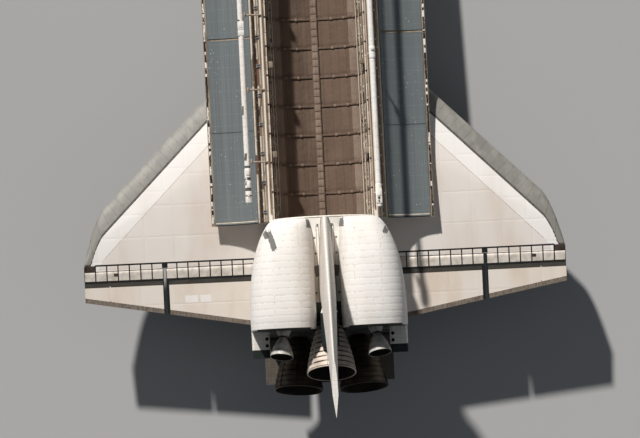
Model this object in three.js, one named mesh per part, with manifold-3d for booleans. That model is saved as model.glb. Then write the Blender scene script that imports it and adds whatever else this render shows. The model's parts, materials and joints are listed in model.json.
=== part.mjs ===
// A winged orbiter with open payload bay doors, parked on its landing gear.
// The airframe is drawn in inches on its own stations: x runs aft from a datum ahead of the nose,
// y to starboard and z up. One group turns it nose-down onto its wheels and scales it to millimetres.
import * as THREE from "three";
import { mergeVertices } from "three/addons/utils/BufferGeometryUtils.js";
import Module from "manifold-3d";

const wasm = await Module();
wasm.setup();

// Driving dimensions
const INCH = 25.4; // millimetres
const REST = 0.02; // gap between faces that rest on each other
const RUN = 0.25; // gap round what moves
const CAP_END_X = 262;
const BAY_FRONT_X = 582;
const BAY_AFT_X = 1307;
const BODY_HALF = 105;
const SILL_Z = 412;
const DOOR_TOP_Z = 500;
const BAY_RADIUS = 94;
const BAY_AXIS_Z = 400;
const PARKED_PITCH = 4; // degrees, nose down

const HALF_SPAN = 468.34;
const WING_APEX_X = 836; // where the swept leading edge would meet the centreline
const ELEVON_APEX_X = 1525.24; // where the trailing edge would meet it
const TRAILING_SWEEP = 0.17733; // tangent of the trailing edge's forward sweep
const GLOVE_START = { x: 500, y: 105 };
const GLOVE_END = { x: 1024, y: 188 };
const HINGE_X = 1387;
const ROOT_CHORD_Z = 285;
const DIHEDRAL = Math.tan(THREE.MathUtils.degToRad(3.5));
const CARBON_DEPTH = 44; // of the grey leading edge, measured along x

const MAIN_AXLE = { x: 1173, y: 136, z: 193.5, radius: 22.25 };
const NOSE_AXLE = { x: 378, radius: 16 };

const finishes = {
  blanket: { color: 0xe6e1da, roughness: 0.85, metalness: 0 },
  blackTile: { color: 0x26272b, roughness: 0.6, metalness: 0 },
  whiteTile: { color: 0xeeebe6, roughness: 0.7, metalness: 0 },
  carbon: { color: 0x9b9d9a, roughness: 0.55, metalness: 0 },
  liner: { color: 0xb9a48c, roughness: 0.9, metalness: 0 },
  radiator: { color: 0x8b979d, roughness: 0.3, metalness: 0.6 },
  bell: { color: 0x3a3632, roughness: 0.45, metalness: 0.8 },
  wrap: { color: 0xe9e6df, roughness: 0.8, metalness: 0 },
  alloy: { color: 0xb8bbbd, roughness: 0.4, metalness: 0.8 },
  steel: { color: 0xd3d5d6, roughness: 0.4, metalness: 0.5 },
  glass: { color: 0x0e1216, roughness: 0.08, metalness: 0 },
  tyre: { color: 0x1b1b1c, roughness: 0.9, metalness: 0 },
  cabin: { color: 0x8f9596, roughness: 0.7, metalness: 0 },
};

const rad = THREE.MathUtils.degToRad;
const v3 = (x, y, z) => new THREE.Vector3(x, y, z);
const mix = (a, b, t) => a + (b - a) * t;

// Solids: a closed geometry becomes a Manifold, turned so that its faces point out.
function solid(geometry) {
  const bare = geometry.clone();
  for (const name of Object.keys(bare.attributes)) {
    if (name !== "position") bare.deleteAttribute(name);
  }
  const merged = mergeVertices(bare, 1e-4);
  const index = new Uint32Array(merged.index.array);
  const p = merged.attributes.position;
  const [a, b, c] = [v3(), v3(), v3()];
  let volume = 0;
  for (let i = 0; i < index.length; i += 3) {
    a.fromBufferAttribute(p, index[i]);
    b.fromBufferAttribute(p, index[i + 1]);
    c.fromBufferAttribute(p, index[i + 2]);
    volume += a.dot(b.cross(c));
  }
  if (volume < 0) {
    for (let i = 0; i < index.length; i += 3) [index[i], index[i + 1]] = [index[i + 1], index[i]];
  }
  const mesh = new wasm.Mesh({ numProp: 3, vertProperties: p.array, triVerts: index });
  return new wasm.Manifold(mesh);
}

const join = (...solids) => solids.reduce((a, b) => a.add(b));
const cut = (whole, ...tools) => tools.reduce((a, b) => a.subtract(b), whole);

// A skin through rings of equal count, with flat ends.
function loft(rings) {
  const count = rings[0].length;
  const points = rings.flat();
  const index = [];
  for (let r = 0; r + 1 < rings.length; r++) {
    for (let i = 0; i < count; i++) {
      const [a, b] = [r * count + i, r * count + ((i + 1) % count)];
      index.push(a, b, b + count, a, b + count, a + count);
    }
  }
  for (const r of [0, rings.length - 1]) {
    const ring = rings[r];
    const size = new THREE.Box3().setFromPoints(ring).getSize(v3());
    const thin = size.x <= size.y && size.x <= size.z ? 0 : size.y <= size.z ? 1 : 2;
    const [u, w] = [[1, 2], [0, 2], [0, 1]][thin];
    const flat = ring.map((q) => new THREE.Vector2(q.getComponent(u), q.getComponent(w)));
    const turned = THREE.ShapeUtils.isClockWise(flat);
    for (const face of THREE.ShapeUtils.triangulateShape(turned ? flat.slice().reverse() : flat, [])) {
      const [a, b, c] = face.map((i) => r * count + (turned ? count - 1 - i : i));
      const outward = looksAway(points, a, b, c, ring, rings[r ? r - 1 : 1]);
      index.push(...(outward ? [a, b, c] : [a, c, b]));
    }
  }
  const geometry = new THREE.BufferGeometry().setFromPoints(points);
  geometry.setIndex(orientSides(points, index, count, rings));
  return solid(geometry);
}

const centre = (ring) => ring.reduce((s, q) => s.add(q), v3()).divideScalar(ring.length);

// True if the triangle looks away from the neighbouring ring.
function looksAway(points, a, b, c, ring, neighbour) {
  const normal = points[b].clone().sub(points[a]).cross(points[c].clone().sub(points[a]));
  return normal.dot(centre(ring).sub(centre(neighbour))) > 0;
}

// Turns the side faces so that they agree with the end caps.
function orientSides(points, index, count, rings) {
  const sides = (rings.length - 1) * count * 6;
  const used = new Set();
  for (let i = sides; i < index.length; i += 3) {
    for (let k = 0; k < 3; k++) used.add(index[i + k] + "," + index[i + ((k + 1) % 3)]);
  }
  let same = 0;
  for (let i = 0; i < sides; i += 3) {
    for (let k = 0; k < 3; k++) {
      if (used.has(index[i + k] + "," + index[i + ((k + 1) % 3)])) same++;
    }
  }
  if (same > count) {
    for (let i = 0; i < sides; i += 3) [index[i], index[i + 1]] = [index[i + 1], index[i]];
  }
  return index;
}

const box = (x0, x1, y0, y1, z0, z1) =>
  solid(
    new THREE.BoxGeometry(x1 - x0, y1 - y0, z1 - z0)
      .translate((x0 + x1) / 2, (y0 + y1) / 2, (z0 + z1) / 2),
  );

// The same between two distances y0 and y1 from the middle, on one side
const sideBox = (x0, x1, side, y0, y1, z0, z1) =>
  box(x0, x1, Math.min(side * y0, side * y1), Math.max(side * y0, side * y1), z0, z1);

// A round bar between two points, with its own radius at each.
function rod(from, to, r0, r1 = r0, sides = 12, roll = 0) {
  const way = to.clone().sub(from);
  const geometry = new THREE.CylinderGeometry(r1, r0, way.length(), sides).rotateY(roll);
  const turn = new THREE.Quaternion().setFromUnitVectors(v3(0, 1, 0), way.clone().normalize());
  return solid(geometry.applyQuaternion(turn).translate(...from.clone().add(to).multiplyScalar(0.5)));
}

// A hole in which a rod of the same radius and number of sides turns
const bore = (from, to, radius, sides = 16) =>
  rod(from, to, (radius + REST) / Math.cos(Math.PI / sides), undefined, sides, Math.PI / sides);

// A turned shape: profile is [radius, distance along the axis] from base, pointing along way.
function turned(profile, base, way, sides = 24, roll = 0) {
  const geometry = new THREE.LatheGeometry(
    profile.map(([r, s]) => new THREE.Vector2(r, s)),
    sides,
  ).rotateY(roll);
  const turn = new THREE.Quaternion().setFromUnitVectors(v3(0, 1, 0), way.clone().normalize());
  return solid(geometry.applyQuaternion(turn).translate(base.x, base.y, base.z));
}

// A flat outline in x and y, standing from z0 to z1.
function plate(outline, z0, z1) {
  return loft([z0, z1].map((z) => outline.map(([x, y]) => v3(x, y, z))));
}

// Body sections: half is the half width, at height waist; up and low are the roundness above and below it.
const noseRows = [
  { x: 236.5, half: 5, waist: 332, top: 337, bottom: 327, up: 2, low: 2 },
  { x: 238.5, half: 14, waist: 332, top: 346, bottom: 318, up: 2, low: 2 },
  { x: 243, half: 23, waist: 332, top: 356, bottom: 308.5, up: 2, low: 2 },
  { x: 250, half: 31.5, waist: 333, top: 364.5, bottom: 301.5, up: 2, low: 2.1 },
  { x: CAP_END_X, half: 42, waist: 334, top: 374.5, bottom: 294.5, up: 2, low: 2.2 },
  { x: 282, half: 54.5, waist: 336, top: 386, bottom: 289.5, up: 2, low: 2.5 },
  { x: 310, half: 67, waist: 339, top: 398.5, bottom: 286.5, up: 2.05, low: 2.9 },
  { x: 345, half: 79, waist: 344, top: 411, bottom: 284, up: 2.1, low: 3.5 },
  { x: 385, half: 88.5, waist: 350, top: 423.5, bottom: 282, up: 2.15, low: 4.2 },
  { x: 425, half: 94, waist: 358, top: 436.5, bottom: 280.4, up: 2.2, low: 5 },
  { x: 447, half: 96, waist: 366, top: 461, bottom: 279.8, up: 2.2, low: 5.5 },
  { x: 468, half: 98, waist: 375, top: 481, bottom: 279.2, up: 2.2, low: 6 },
  { x: 490, half: 99.5, waist: 384, top: 493, bottom: 278.7, up: 2.2, low: 6.5 },
  { x: 520, half: 101.5, waist: 396, top: 499, bottom: 278, up: 2.2, low: 7 },
  { x: 550, half: 103.5, waist: 405, top: 500.5, bottom: 277.2, up: 2.2, low: 7.5 },
  { x: BAY_FRONT_X, half: BODY_HALF, waist: SILL_Z, top: DOOR_TOP_Z, bottom: 276.5, up: 2.2, low: 8 },
];
const aftRows = [
  { x: BAY_AFT_X, half: BODY_HALF, waist: SILL_Z, top: DOOR_TOP_Z, bottom: 267.5, up: 2.2, low: 8 },
  { x: 1400, half: 107, waist: 405, top: 501, bottom: 268, up: 2.3, low: 8 },
  { x: 1470, half: 108, waist: 385, top: 502, bottom: 270, up: 2.4, low: 8 },
  { x: 1508, half: 109, waist: 350, top: 490, bottom: 273, up: 2.5, low: 8 },
  { x: 1524, half: 125, waist: 325, top: 440, bottom: 275.5, up: 2.6, low: 8 },
];

// One closed section ring, grown outwards by grow.
function bodyRing(row, grow = 0, count = 28) {
  return Array.from({ length: count }, (_, i) => {
    const angle = (i / count) * 2 * Math.PI;
    const [c, s] = [Math.cos(angle), Math.sin(angle)];
    const power = 2 / (s >= 0 ? row.up : row.low);
    const reach = s >= 0 ? row.top - row.waist + grow : row.waist - row.bottom + grow;
    return v3(
      row.x,
      (row.half + grow) * Math.sign(c) * Math.abs(c) ** power,
      row.waist + reach * Math.sign(s) * Math.abs(s) ** power,
    );
  });
}
const body = (rows, grow) => loft(rows.map((row) => bodyRing(row, grow)));

// Scene: airframe holds everything in inches
const orbiter = new THREE.Group();
const airframe = new THREE.Group();
airframe.scale.setScalar(INCH);
airframe.rotation.y = -rad(PARKED_PITCH);
orbiter.add(airframe);

function piece(name, made, finish, parent = airframe) {
  const { vertProperties, triVerts, numProp } = made.getMesh();
  const geometry = new THREE.BufferGeometry();
  geometry.setAttribute("position", new THREE.BufferAttribute(vertProperties, numProp));
  geometry.setIndex(new THREE.BufferAttribute(triVerts, 1));
  const mesh = new THREE.Mesh(geometry, new THREE.MeshStandardMaterial(finishes[finish]));
  mesh.name = name;
  parent.add(mesh);
  return mesh;
}

const SIDES = { port: -1, starboard: 1 };

// Forward fuselage with its hollow flight deck
const WALL = 3;
const DECK_Z = 402;
const windows = [
  // x, y and z of the middle, width, height, then the way it looks: azimuth off the nose and elevation
  { x: 446, y: 17, z: 459, wide: 27, high: 30, azimuth: 0, elevation: 48 },
  { x: 455, y: 49, z: 452, wide: 30, high: 30, azimuth: 32, elevation: 42 },
  { x: 478, y: 78, z: 449, wide: 30, high: 25, azimuth: 66, elevation: 30 },
  { x: 533, y: 24, z: 499, wide: 20, high: 20, azimuth: 0, elevation: 88 },
  { x: 579, y: 22, z: 462, wide: 15, high: 12, azimuth: 180, elevation: 0 },
];

const WINDOW_DEPTH = 26; // of the cutter, through wall and glass
function windowCutter(w, side) {
  const geometry = new THREE.BoxGeometry(WINDOW_DEPTH, w.wide, w.high);
  geometry.rotateY(rad(w.elevation));
  geometry.rotateZ(-rad(w.azimuth) * side);
  return solid(geometry.translate(w.x, w.y * side, w.z));
}

const HATCH = { x: 505, z: 372, radius: 20, depth: 3 };

// A round bar through the port side wall, standing on the hatch opening's lower edge
function hatchBar(radius, depth, foot) {
  const inner = -hullHalfAt(HATCH.x, HATCH.z) + depth;
  const z = HATCH.z - HATCH.radius - foot + radius;
  return rod(v3(HATCH.x, inner, z), v3(HATCH.x, inner - depth - 12, z), radius, radius, 24);
}

function hullHalfAt(x, z) {
  const after = noseRows.findIndex((row) => row.x >= x);
  const [a, b] = [noseRows[after - 1], noseRows[after]];
  const t = (x - a.x) / (b.x - a.x);
  const at = (key) => mix(a[key], b[key], t);
  const share = (at("waist") - z) / (at("waist") - at("bottom"));
  return at("half") * (1 - Math.abs(share) ** at("low")) ** (1 / at("low"));
}

const NOSE_WELL = { x0: 292, x1: 392, half: 21, roof: 330 };

const cabinRoom = (inset, floor) => box(426 + inset, 576 - inset, inset - 95, 95 - inset, floor, 520);

function forwardFuselage() {
  const shell = body(noseRows.filter((row) => row.x >= CAP_END_X));
  const cabinRows = noseRows.filter((row) => row.x >= 425 && row.x < BAY_FRONT_X);
  const aftWall = { ...noseRows.at(-1), x: BAY_FRONT_X - 2 * WALL };
  const cavity = body([...cabinRows, aftWall], -WALL).intersect(cabinRoom(0, DECK_Z));
  const windowCuts = windows.flatMap((w) => [windowCutter(w, 1), windowCutter(w, -1)]);
  const well = box(NOSE_WELL.x0, NOSE_WELL.x1, -NOSE_WELL.half, NOSE_WELL.half, 260, NOSE_WELL.roof);
  return cut(shell, cavity, ...windowCuts, well, hatchBar(HATCH.radius + RUN, HATCH.depth + RUN, REST));
}

function cabinGlazing() {
  const rows = noseRows.filter((row) => row.x >= 425 && row.x < BAY_FRONT_X);
  const aftWall = { ...noseRows.at(-1), x: BAY_FRONT_X - 2 * WALL - REST };
  const outer = body([...rows, aftWall], -WALL - REST);
  const inner = body([...rows, { ...aftWall, x: aftWall.x - 1 }], -WALL - 1);
  return cut(outer, inner).intersect(cabinRoom(REST, 428));
}

function flightDeck() {
  const floor = box(436, 574, -72, 72, DECK_Z + REST, DECK_Z + 3);
  const console = box(440, 452, -50, 50, DECK_Z + 2, 434);
  const aftConsole = box(558, 570, -50, 50, DECK_Z + 2, 438);
  const pillars = [-24, 24].map((y) =>
    join(box(488, 508, y - 10, y + 10, DECK_Z + 2, 424), box(504, 510, y - 10, y + 10, 420, 456)),
  );
  return join(floor, console, aftConsole, ...pillars);
}

const capRows = noseRows.filter((row) => row.x < CAP_END_X);
const capEnd = { ...noseRows.find((row) => row.x === CAP_END_X), x: CAP_END_X - REST };
piece("nose_cap", body([...capRows, capEnd]), "carbon");
piece("forward_fuselage", forwardFuselage(), "blanket");
piece("cabin_glazing", cabinGlazing(), "glass");
piece("flight_deck", flightDeck(), "cabin");

const hatchBody = body(noseRows, 0).intersect(hatchBar(HATCH.radius, HATCH.depth, 0));
piece("side_hatch", hatchBody, "blackTile");

// Payload bay trough
const RIB = { depth: 3, width: 4, pitch: 56.6, first: 628 };
const CORNER = 14;
const BAY_STEPS = 14;

function troughRing(x, bottom) {
  const ring = [v3(x, BODY_HALF, SILL_Z)];
  for (let i = 0; i <= 3; i++) {
    const a = (i / 3) * (Math.PI / 2);
    ring.push(v3(x, BODY_HALF - CORNER + CORNER * Math.cos(a), bottom + CORNER - CORNER * Math.sin(a)));
  }
  const mirrored = ring.slice().reverse().map((q) => v3(x, -q.y, q.z));
  const inner = [v3(x, -BAY_RADIUS, SILL_Z)];
  for (let i = 0; i <= BAY_STEPS; i++) {
    const a = Math.PI * (1 + i / BAY_STEPS);
    inner.push(v3(x, BAY_RADIUS * Math.cos(a), BAY_AXIS_Z + BAY_RADIUS * Math.sin(a)));
  }
  inner.push(v3(x, BAY_RADIUS, SILL_Z));
  return [...ring, ...mirrored, ...inner];
}

function rib(x) {
  const arc = (radius) =>
    Array.from({ length: BAY_STEPS + 1 }, (_, i) => {
      const a = Math.PI * (1 + i / BAY_STEPS);
      return [radius * Math.cos(a), BAY_AXIS_Z + radius * Math.sin(a)];
    });
  const outline = [...arc(BAY_RADIUS + 1), ...arc(BAY_RADIUS - RIB.depth).reverse()];
  const ends = [x - RIB.width / 2, x + RIB.width / 2];
  return loft(ends.map((at) => outline.map(([y, z]) => v3(at, y, z))));
}

// Payload latches: flat-topped blocks inside the sills
const LATCH = { xs: [700, 838, 1002, 1176], halfLength: 6, y0: 84, z0: 396, z1: 408 };
const latches = (side) => LATCH.xs.map((x) =>
  sideBox(x - LATCH.halfLength, x + LATCH.halfLength, side, LATCH.y0, BAY_RADIUS + 1, LATCH.z0, LATCH.z1));

function midFuselage() {
  const front = BAY_FRONT_X + REST;
  const aft = BAY_AFT_X - REST;
  const shell = loft([troughRing(front, 276.5), troughRing(aft, 267.5)]);
  const ribs = Array.from({ length: 12 }, (_, i) => rib(RIB.first + i * RIB.pitch));
  const keel = box(front, aft, -7, 7, BAY_AXIS_Z - BAY_RADIUS - 1, BAY_AXIS_Z - BAY_RADIUS + 5);
  return join(shell, keel, ...ribs, ...latches(-1), ...latches(1));
}
piece("mid_fuselage", midFuselage(), "blanket");

// Wings: chord sections along y
const gloveShare = (y) => (y - GLOVE_START.y) / (GLOVE_END.y - GLOVE_START.y);
const TIP_BEND = { y: 425, rate: 0.036 }; // past y the leading edge falls back by rate times the way squared
const leadingX = (y) => {
  if (y < GLOVE_END.y) return mix(GLOVE_START.x, GLOVE_END.x, gloveShare(y));
  return WING_APEX_X + y + Math.max(0, y - TIP_BEND.y) ** 2 * TIP_BEND.rate;
};
const trailingX = (y) => ELEVON_APEX_X - TRAILING_SWEEP * y;
const chordZ = (y) => ROOT_CHORD_Z + (y - BODY_HALF) * DIHEDRAL;
const wingThick = (y) => mix(62, 17, (y - BODY_HALF) / (HALF_SPAN - BODY_HALF));
const hingeHalf = (y) => mix(12, 6, (y - BODY_HALF) / (HALF_SPAN - BODY_HALF));

// A control surface's round nose turns in a cove whose lips reach this share of its radius ahead of its axis.
const COVE_LIP = 0.66;
const COVE_ROOM = 0.035;
const NOSE_STEPS = 8;
function cove(ends) {
  const corner = Math.PI / NOSE_STEPS;
  const ring = ({ x, y, z, half }) => Array.from({ length: 2 * NOSE_STEPS }, (_, i) => {
    const angle = (i + 0.5) * corner;
    const radius = (half + COVE_ROOM) / Math.cos(corner / 2);
    return v3(x + radius * Math.cos(angle), y, z + radius * Math.sin(angle));
  });
  return loft(ends.map(ring));
}

const UPPER_SHARE = 0.58; // of the thickness, above the chord
const STEPS = [0, 0.012, 0.045, 0.1, 0.18, 0.3, 0.45, 0.62, 0.8, 1];

// Thickness as a share of the most, from the nose (0) to the hinge (1)
const FULLEST = 0.42;
const BLUNT = 0.18;
const fullness = (s, end) => {
  if (s > FULLEST) return mix(1, end, ((s - FULLEST) / (1 - FULLEST)) ** 1.5);
  const t = s / FULLEST;
  return (Math.sqrt(t) * (1 - BLUNT * t)) / (1 - BLUNT);
};

function wingRing(y, side) {
  const nose = leadingX(y);
  const aft = HINGE_X - hingeHalf(y) * COVE_LIP;
  const thick = wingThick(y);
  const end = (2 * hingeHalf(y)) / thick;
  const z = chordZ(y);
  // Each skin takes its share of the thickness, and comes to the elevon's half thickness at the hinge.
  const skin = (s, share) => share * thick * fullness(s, end) * mix(1, 0.5 / share, s ** 3);
  const point = (s, height) => v3(mix(nose, aft, s), side * y, z + height);
  const upper = STEPS.map((s) => point(s, skin(s, UPPER_SHARE)));
  const lower = STEPS.slice(1).reverse().map((s) => point(s, -skin(s, 1 - UPPER_SHARE)));
  return [...upper, ...lower];
}

const WING_STATIONS = [96, GLOVE_START.y, 130, 160, GLOVE_END.y, 250, 320, 390, 425, 445, 458, HALF_SPAN];
const MAIN_WELL = { x0: 1046, x1: 1190, y0: 110, y1: 163, roof: 312 };

// All that lies ahead of the carbon leading edge's back, outboard of its first panel
const CARBON_Y = 186;
const BAND_STATIONS = [CARBON_Y + 2, 250, 320, 425, 440, 452, 462, 475];
function edgeBand(side, grow) {
  const back = (y) => Math.min(leadingX(y) + CARBON_DEPTH, HINGE_X - 18) + grow;
  const line = BAND_STATIONS.map((y, i) => [back(y), i ? y : CARBON_Y - grow]);
  const outline = [[900, CARBON_Y - grow], ...line, [900, 480]];
  return plate(outline.map(([x, y]) => [x, side * y]), 200, 420);
}

function wingParts(side) {
  const whole = loft(WING_STATIONS.map((y) => wingRing(y, side)));
  const hulls = [
    body(noseRows, REST),
    body(aftRows, REST),
    box(BAY_FRONT_X - 1, BAY_AFT_X + 1, -BODY_HALF - REST, BODY_HALF + REST, 240, 460),
  ];
  const well = sideBox(MAIN_WELL.x0, MAIN_WELL.x1, side, MAIN_WELL.y0, MAIN_WELL.y1, 240, MAIN_WELL.roof);
  const hinges = cove([90, HALF_SPAN + 5].map((y) =>
    ({ x: HINGE_X, y: side * y, z: chordZ(y), half: hingeHalf(y) })));
  return {
    wing: cut(whole, edgeBand(side, REST), well, hinges, ...hulls),
    edge: cut(whole.intersect(edgeBand(side, 0)), hinges),
  };
}

// Elevons turn on a line at the middle of their round noses.
const ELEVON_SPANS = { inboard: [116, 309.5], outboard: [314.5, HALF_SPAN] };
const TAIL_HALF = 0.6;
const flapRing = (y, side, hingeX, tailX, z, half) => {
  const arc = Array.from({ length: NOSE_STEPS + 1 }, (_, i) => {
    const a = Math.PI / 2 + (i / NOSE_STEPS) * Math.PI;
    return v3(hingeX + half * Math.cos(a), side * y, z + half * Math.sin(a));
  });
  const tail = [-TAIL_HALF, TAIL_HALF].map((lift) => v3(tailX, side * y, z - half * 0.25 + lift));
  return [...arc, ...tail];
};

for (const [name, side] of Object.entries(SIDES)) {
  const { wing, edge } = wingParts(side);
  piece(`wing_${name}`, wing, "blanket");
  piece(`wing_edge_${name}`, edge, "carbon");
  for (const [place, span] of Object.entries(ELEVON_SPANS)) {
    const rings = span.map((y) => flapRing(y, side, HINGE_X, trailingX(y), chordZ(y), hingeHalf(y)));
    piece(`elevon_${place}_${name}`, loft(rings), "whiteTile");
  }
}

const FLAP = { x: 1534, z: 287, half: 9, chord: 83, span: 125 };
piece("body_flap", loft([-FLAP.span, FLAP.span].map((y) =>
  flapRing(y, 1, FLAP.x, FLAP.x + FLAP.chord, FLAP.z, FLAP.half))), "blackTile");

// Main engines, each turned about its own thrust line
const ENGINE_LENGTH = 168;
const engines = [
  { name: "main_engine_upper", x: 1445, y: 0, z: 443, up: 16, out: 0 },
  { name: "main_engine_port", x: 1468.2, y: -53, z: 342.6, up: 10, out: -3.5 },
  { name: "main_engine_starboard", x: 1468.2, y: 53, z: 342.6, up: 10, out: 3.5 },
];
const aim = (e) => v3(Math.cos(rad(e.up)) * Math.cos(rad(e.out)), Math.sin(rad(e.out)), Math.sin(rad(e.up)));
const SHIELD = { radius: 37, start: 46 };

// A bell's radius, from throat to mouth, as a tilted parabola
const bellRadius = (t, throat, mouth) => throat + (mouth - throat) * (1.55 * t - 0.55 * t * t) ** 0.86;

function mainEngineProfile() {
  const [throat, mouth, start] = [5.2, 45.2, 50];
  const wall = 1.3;
  const steps = [0, 0.12, 0.3, 0.6, 1];
  const inside = steps.map((t) => [bellRadius(t, throat, mouth), mix(start, ENGINE_LENGTH, t)]);
  const outside = steps.slice(1).reverse().map((t) =>
    [bellRadius(t, throat, mouth) + wall + 1.2 * (1 - t), mix(start, ENGINE_LENGTH, t)]);
  return [
    [0, start - 4], ...inside, ...outside, [29, 61], [SHIELD.radius - 1, 52],
    [SHIELD.radius, SHIELD.start], [30, 44], [30, 2], [0, 2],
  ];
}
for (const e of engines) {
  piece(e.name, turned(mainEngineProfile(), v3(e.x, e.y, e.z), aim(e), 20), "bell");
}

function aftFuselage() {
  const shell = body(aftRows);
  const pockets = engines.map((e) => {
    const from = v3(e.x, e.y, e.z);
    return bore(from, from.clone().addScaledVector(aim(e), ENGINE_LENGTH), SHIELD.radius, 20);
  });
  const shelf = box(1510, FLAP.x - FLAP.half * COVE_LIP, -124, 124, FLAP.z - 10, FLAP.z + 10);
  const hinge = cove([-130, 130].map((y) => ({ ...FLAP, y })));
  return cut(join(shell, shelf), hinge, ...pockets);
}
piece("aft_fuselage", aftFuselage(), "blanket");

// Manoeuvring pods beside the fin
const podRows = [
  { x: BAY_AFT_X + 0.6, inner: 30, outer: 97, low: 446, top: 514 },
  { x: 1314, inner: 28, outer: 108, low: 436, top: 530 },
  { x: 1330, inner: 26.5, outer: 119, low: 428, top: 544 },
  { x: 1355, inner: 25, outer: 130.5, low: 422, top: 556 },
  { x: 1390, inner: 24, outer: 141, low: 420, top: 565 },
  { x: 1440, inner: 24, outer: 148, low: 421, top: 570 },
  { x: 1490, inner: 24, outer: 150.5, low: 424, top: 570 },
  { x: 1519, inner: 25, outer: 150.5, low: 428, top: 566 },
];
const STINGER = { x0: 1470, x1: 1572, y0: 116, y1: 150, z0: 434, z1: 478 };
const podEngine = (side) => ({ x: 1517, y: side * 88, z: 494, up: 15.8, out: side * 6.5 });

function pod(side) {
  const ring = (row) => Array.from({ length: 28 }, (_, i) => {
    const a = (i / 28) * 2 * Math.PI;
    const [c, s] = [Math.cos(a), Math.sin(a)];
    const round = (value) => Math.sign(value) * Math.abs(value) ** (2 / 2.5);
    const [my, mz] = [(row.inner + row.outer) / 2, (row.low + row.top) / 2];
    const y = my + ((row.outer - row.inner) / 2) * round(c);
    return v3(row.x, side * y, mz + ((row.top - row.low) / 2) * round(s));
  });
  const hull = loft(podRows.map(ring));
  const [y0, y1] = [side * STINGER.y0, side * STINGER.y1];
  const ends = [
    [STINGER.x0, STINGER.z0 - 4, STINGER.z1 + 6],
    [STINGER.x1, STINGER.z0 + 6, STINGER.z1 - 8],
  ];
  const stinger = loft(ends.map(([x, low, top]) =>
    [v3(x, y0, low), v3(x, y1, low), v3(x, y1, top), v3(x, y0, top)]));
  const e = podEngine(side);
  const along = (s) => v3(e.x, e.y, e.z).addScaledVector(aim(e), s);
  const mouth = bore(along(-4 - REST), along(30), 15.7);
  return cut(join(hull, stinger), body(aftRows, REST), mouth);
}

function podNozzle(side) {
  const e = podEngine(side);
  const steps = [0, 0.2, 0.55, 1];
  const [throat, mouth, start, end] = [3.4, 21.5, 16, 58];
  const wall = 0.8;
  const inside = steps.map((t) => [bellRadius(t, throat, mouth), mix(start, end, t)]);
  const outside = steps.slice(1).reverse().map((t) => [bellRadius(t, throat, mouth) + wall, mix(start, end, t)]);
  const profile = [[0, start - 2], ...inside, ...outside, [10, 14], [13.5, 6], [15.7, -4], [0, -4]];
  return turned(profile, v3(e.x, e.y, e.z), aim(e), 16);
}
for (const [name, side] of Object.entries(SIDES)) {
  piece(`pod_${name}`, pod(side), "blanket");
  piece(`pod_nozzle_${name}`, podNozzle(side), "bell");
}

// Room that the upper engine needs under the fin
const engineRoom = () => {
  const e = engines[0];
  const along = (s) => v3(e.x, e.y, e.z).addScaledVector(aim(e), s);
  return rod(along(30), along(ENGINE_LENGTH), 38, 52, 24);
};

// The drag chute's housing, which the fin's foot is cut round
const CHUTE = { x0: 1470, x1: 1556, half: 17, z0: 490, z1: 541, slope: 12, flat: 0.55 };
function chuteBox(grow) {
  const ring = ([x, share, lift]) => {
    const half = CHUTE.half * share + grow;
    const top = CHUTE.z1 + lift + grow;
    const right = [[half, top - CHUTE.slope], [half, CHUTE.z0]];
    const left = [[-half, CHUTE.z0], [-half, top - CHUTE.slope]];
    const ridge = [[-half * CHUTE.flat, top], [half * CHUTE.flat, top]];
    return [...left, ...ridge, ...right].map(([y, z]) => v3(x, y, z));
  };
  return loft([[CHUTE.x0 - grow, 0.55, -4], [CHUTE.x0 + 24, 1, 0], [CHUTE.x1 + grow, 1, 0]].map(ring));
}

// Fin, with a split rudder behind its hinge line
const FIN = {
  rootZ: 500, tipZ: 815.7, rootX: 1277.9,
  chordRoot: 268.5, chordTip: 108.47, thickRoot: 32, thickTip: 11,
};
const RUDDER = { z0: 594, z1: 798, share: 0.6 };
const finShare = (z) => (z - FIN.rootZ) / (FIN.tipZ - FIN.rootZ);
const finNose = (z) => FIN.rootX + (z - FIN.rootZ);
const finChord = (z) => mix(FIN.chordRoot, FIN.chordTip, finShare(z));
const finHalf = (z) => mix(FIN.thickRoot, FIN.thickTip, finShare(z)) / 2;
const finX = (z, share) => finNose(z) + finChord(z) * share;

// Half the fin's plan at height z: [share of chord, share of the half thickness]
const FIN_OUTLINE = [[0, 0], [0.01, 0.16], [0.04, 0.33], [0.12, 0.55], [0.3, 0.82], [0.6, 1], [1, 0.04]];
function finRing(z) {
  const half = (sign) => FIN_OUTLINE.map(([s, t]) => v3(finX(z, s), sign * finHalf(z) * t, z));
  return [...half(1), ...half(-1).slice(1).reverse()];
}
const blade = () => loft([FIN.rootZ - 2, 560, 700, FIN.tipZ].map(finRing));

// A rudder half turns on the line where its front edge meets the skin. Its ends are square to that line.
function rudderRoom(side, grow) {
  const at = (z) => v3(finX(z, RUDDER.share), side * finHalf(z), z);
  const along = at(RUDDER.z1).sub(at(RUDDER.z0));
  const up = along.clone().normalize();
  const aft = v3(0, side, 0).cross(up).multiplyScalar(side).normalize();
  const out = up.clone().cross(aft);
  const corner = (a, b, c) =>
    at(RUDDER.z0).addScaledVector(up, a).addScaledVector(aft, b).addScaledVector(out, c);
  const front = -Math.min(grow, REST);
  const outline = [[front, -40], [160, -40], [160, 40], [front, 40]];
  return loft([-grow, along.length() + grow].map((a) => outline.map(([b, c]) => corner(a, b, c))));
}
const fin = () => cut(blade(), rudderRoom(1, RUN), rudderRoom(-1, RUN), chuteBox(REST), engineRoom(),
  body(aftRows, REST), box(1200, BAY_AFT_X + 0.6, -40, 40, 480, 560));
const rudderHalf = (side) =>
  blade().intersect(rudderRoom(side, 0)).intersect(sideBox(1300, 1760, side, 0.13, 40, 400, 830));
piece("fin", fin(), "blanket");
for (const [name, side] of Object.entries(SIDES)) piece(`rudder_${name}`, rudderHalf(side), "blanket");

piece("chute_housing", cut(chuteBox(0), engineRoom(), body(aftRows, REST)), "blanket");

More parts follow.
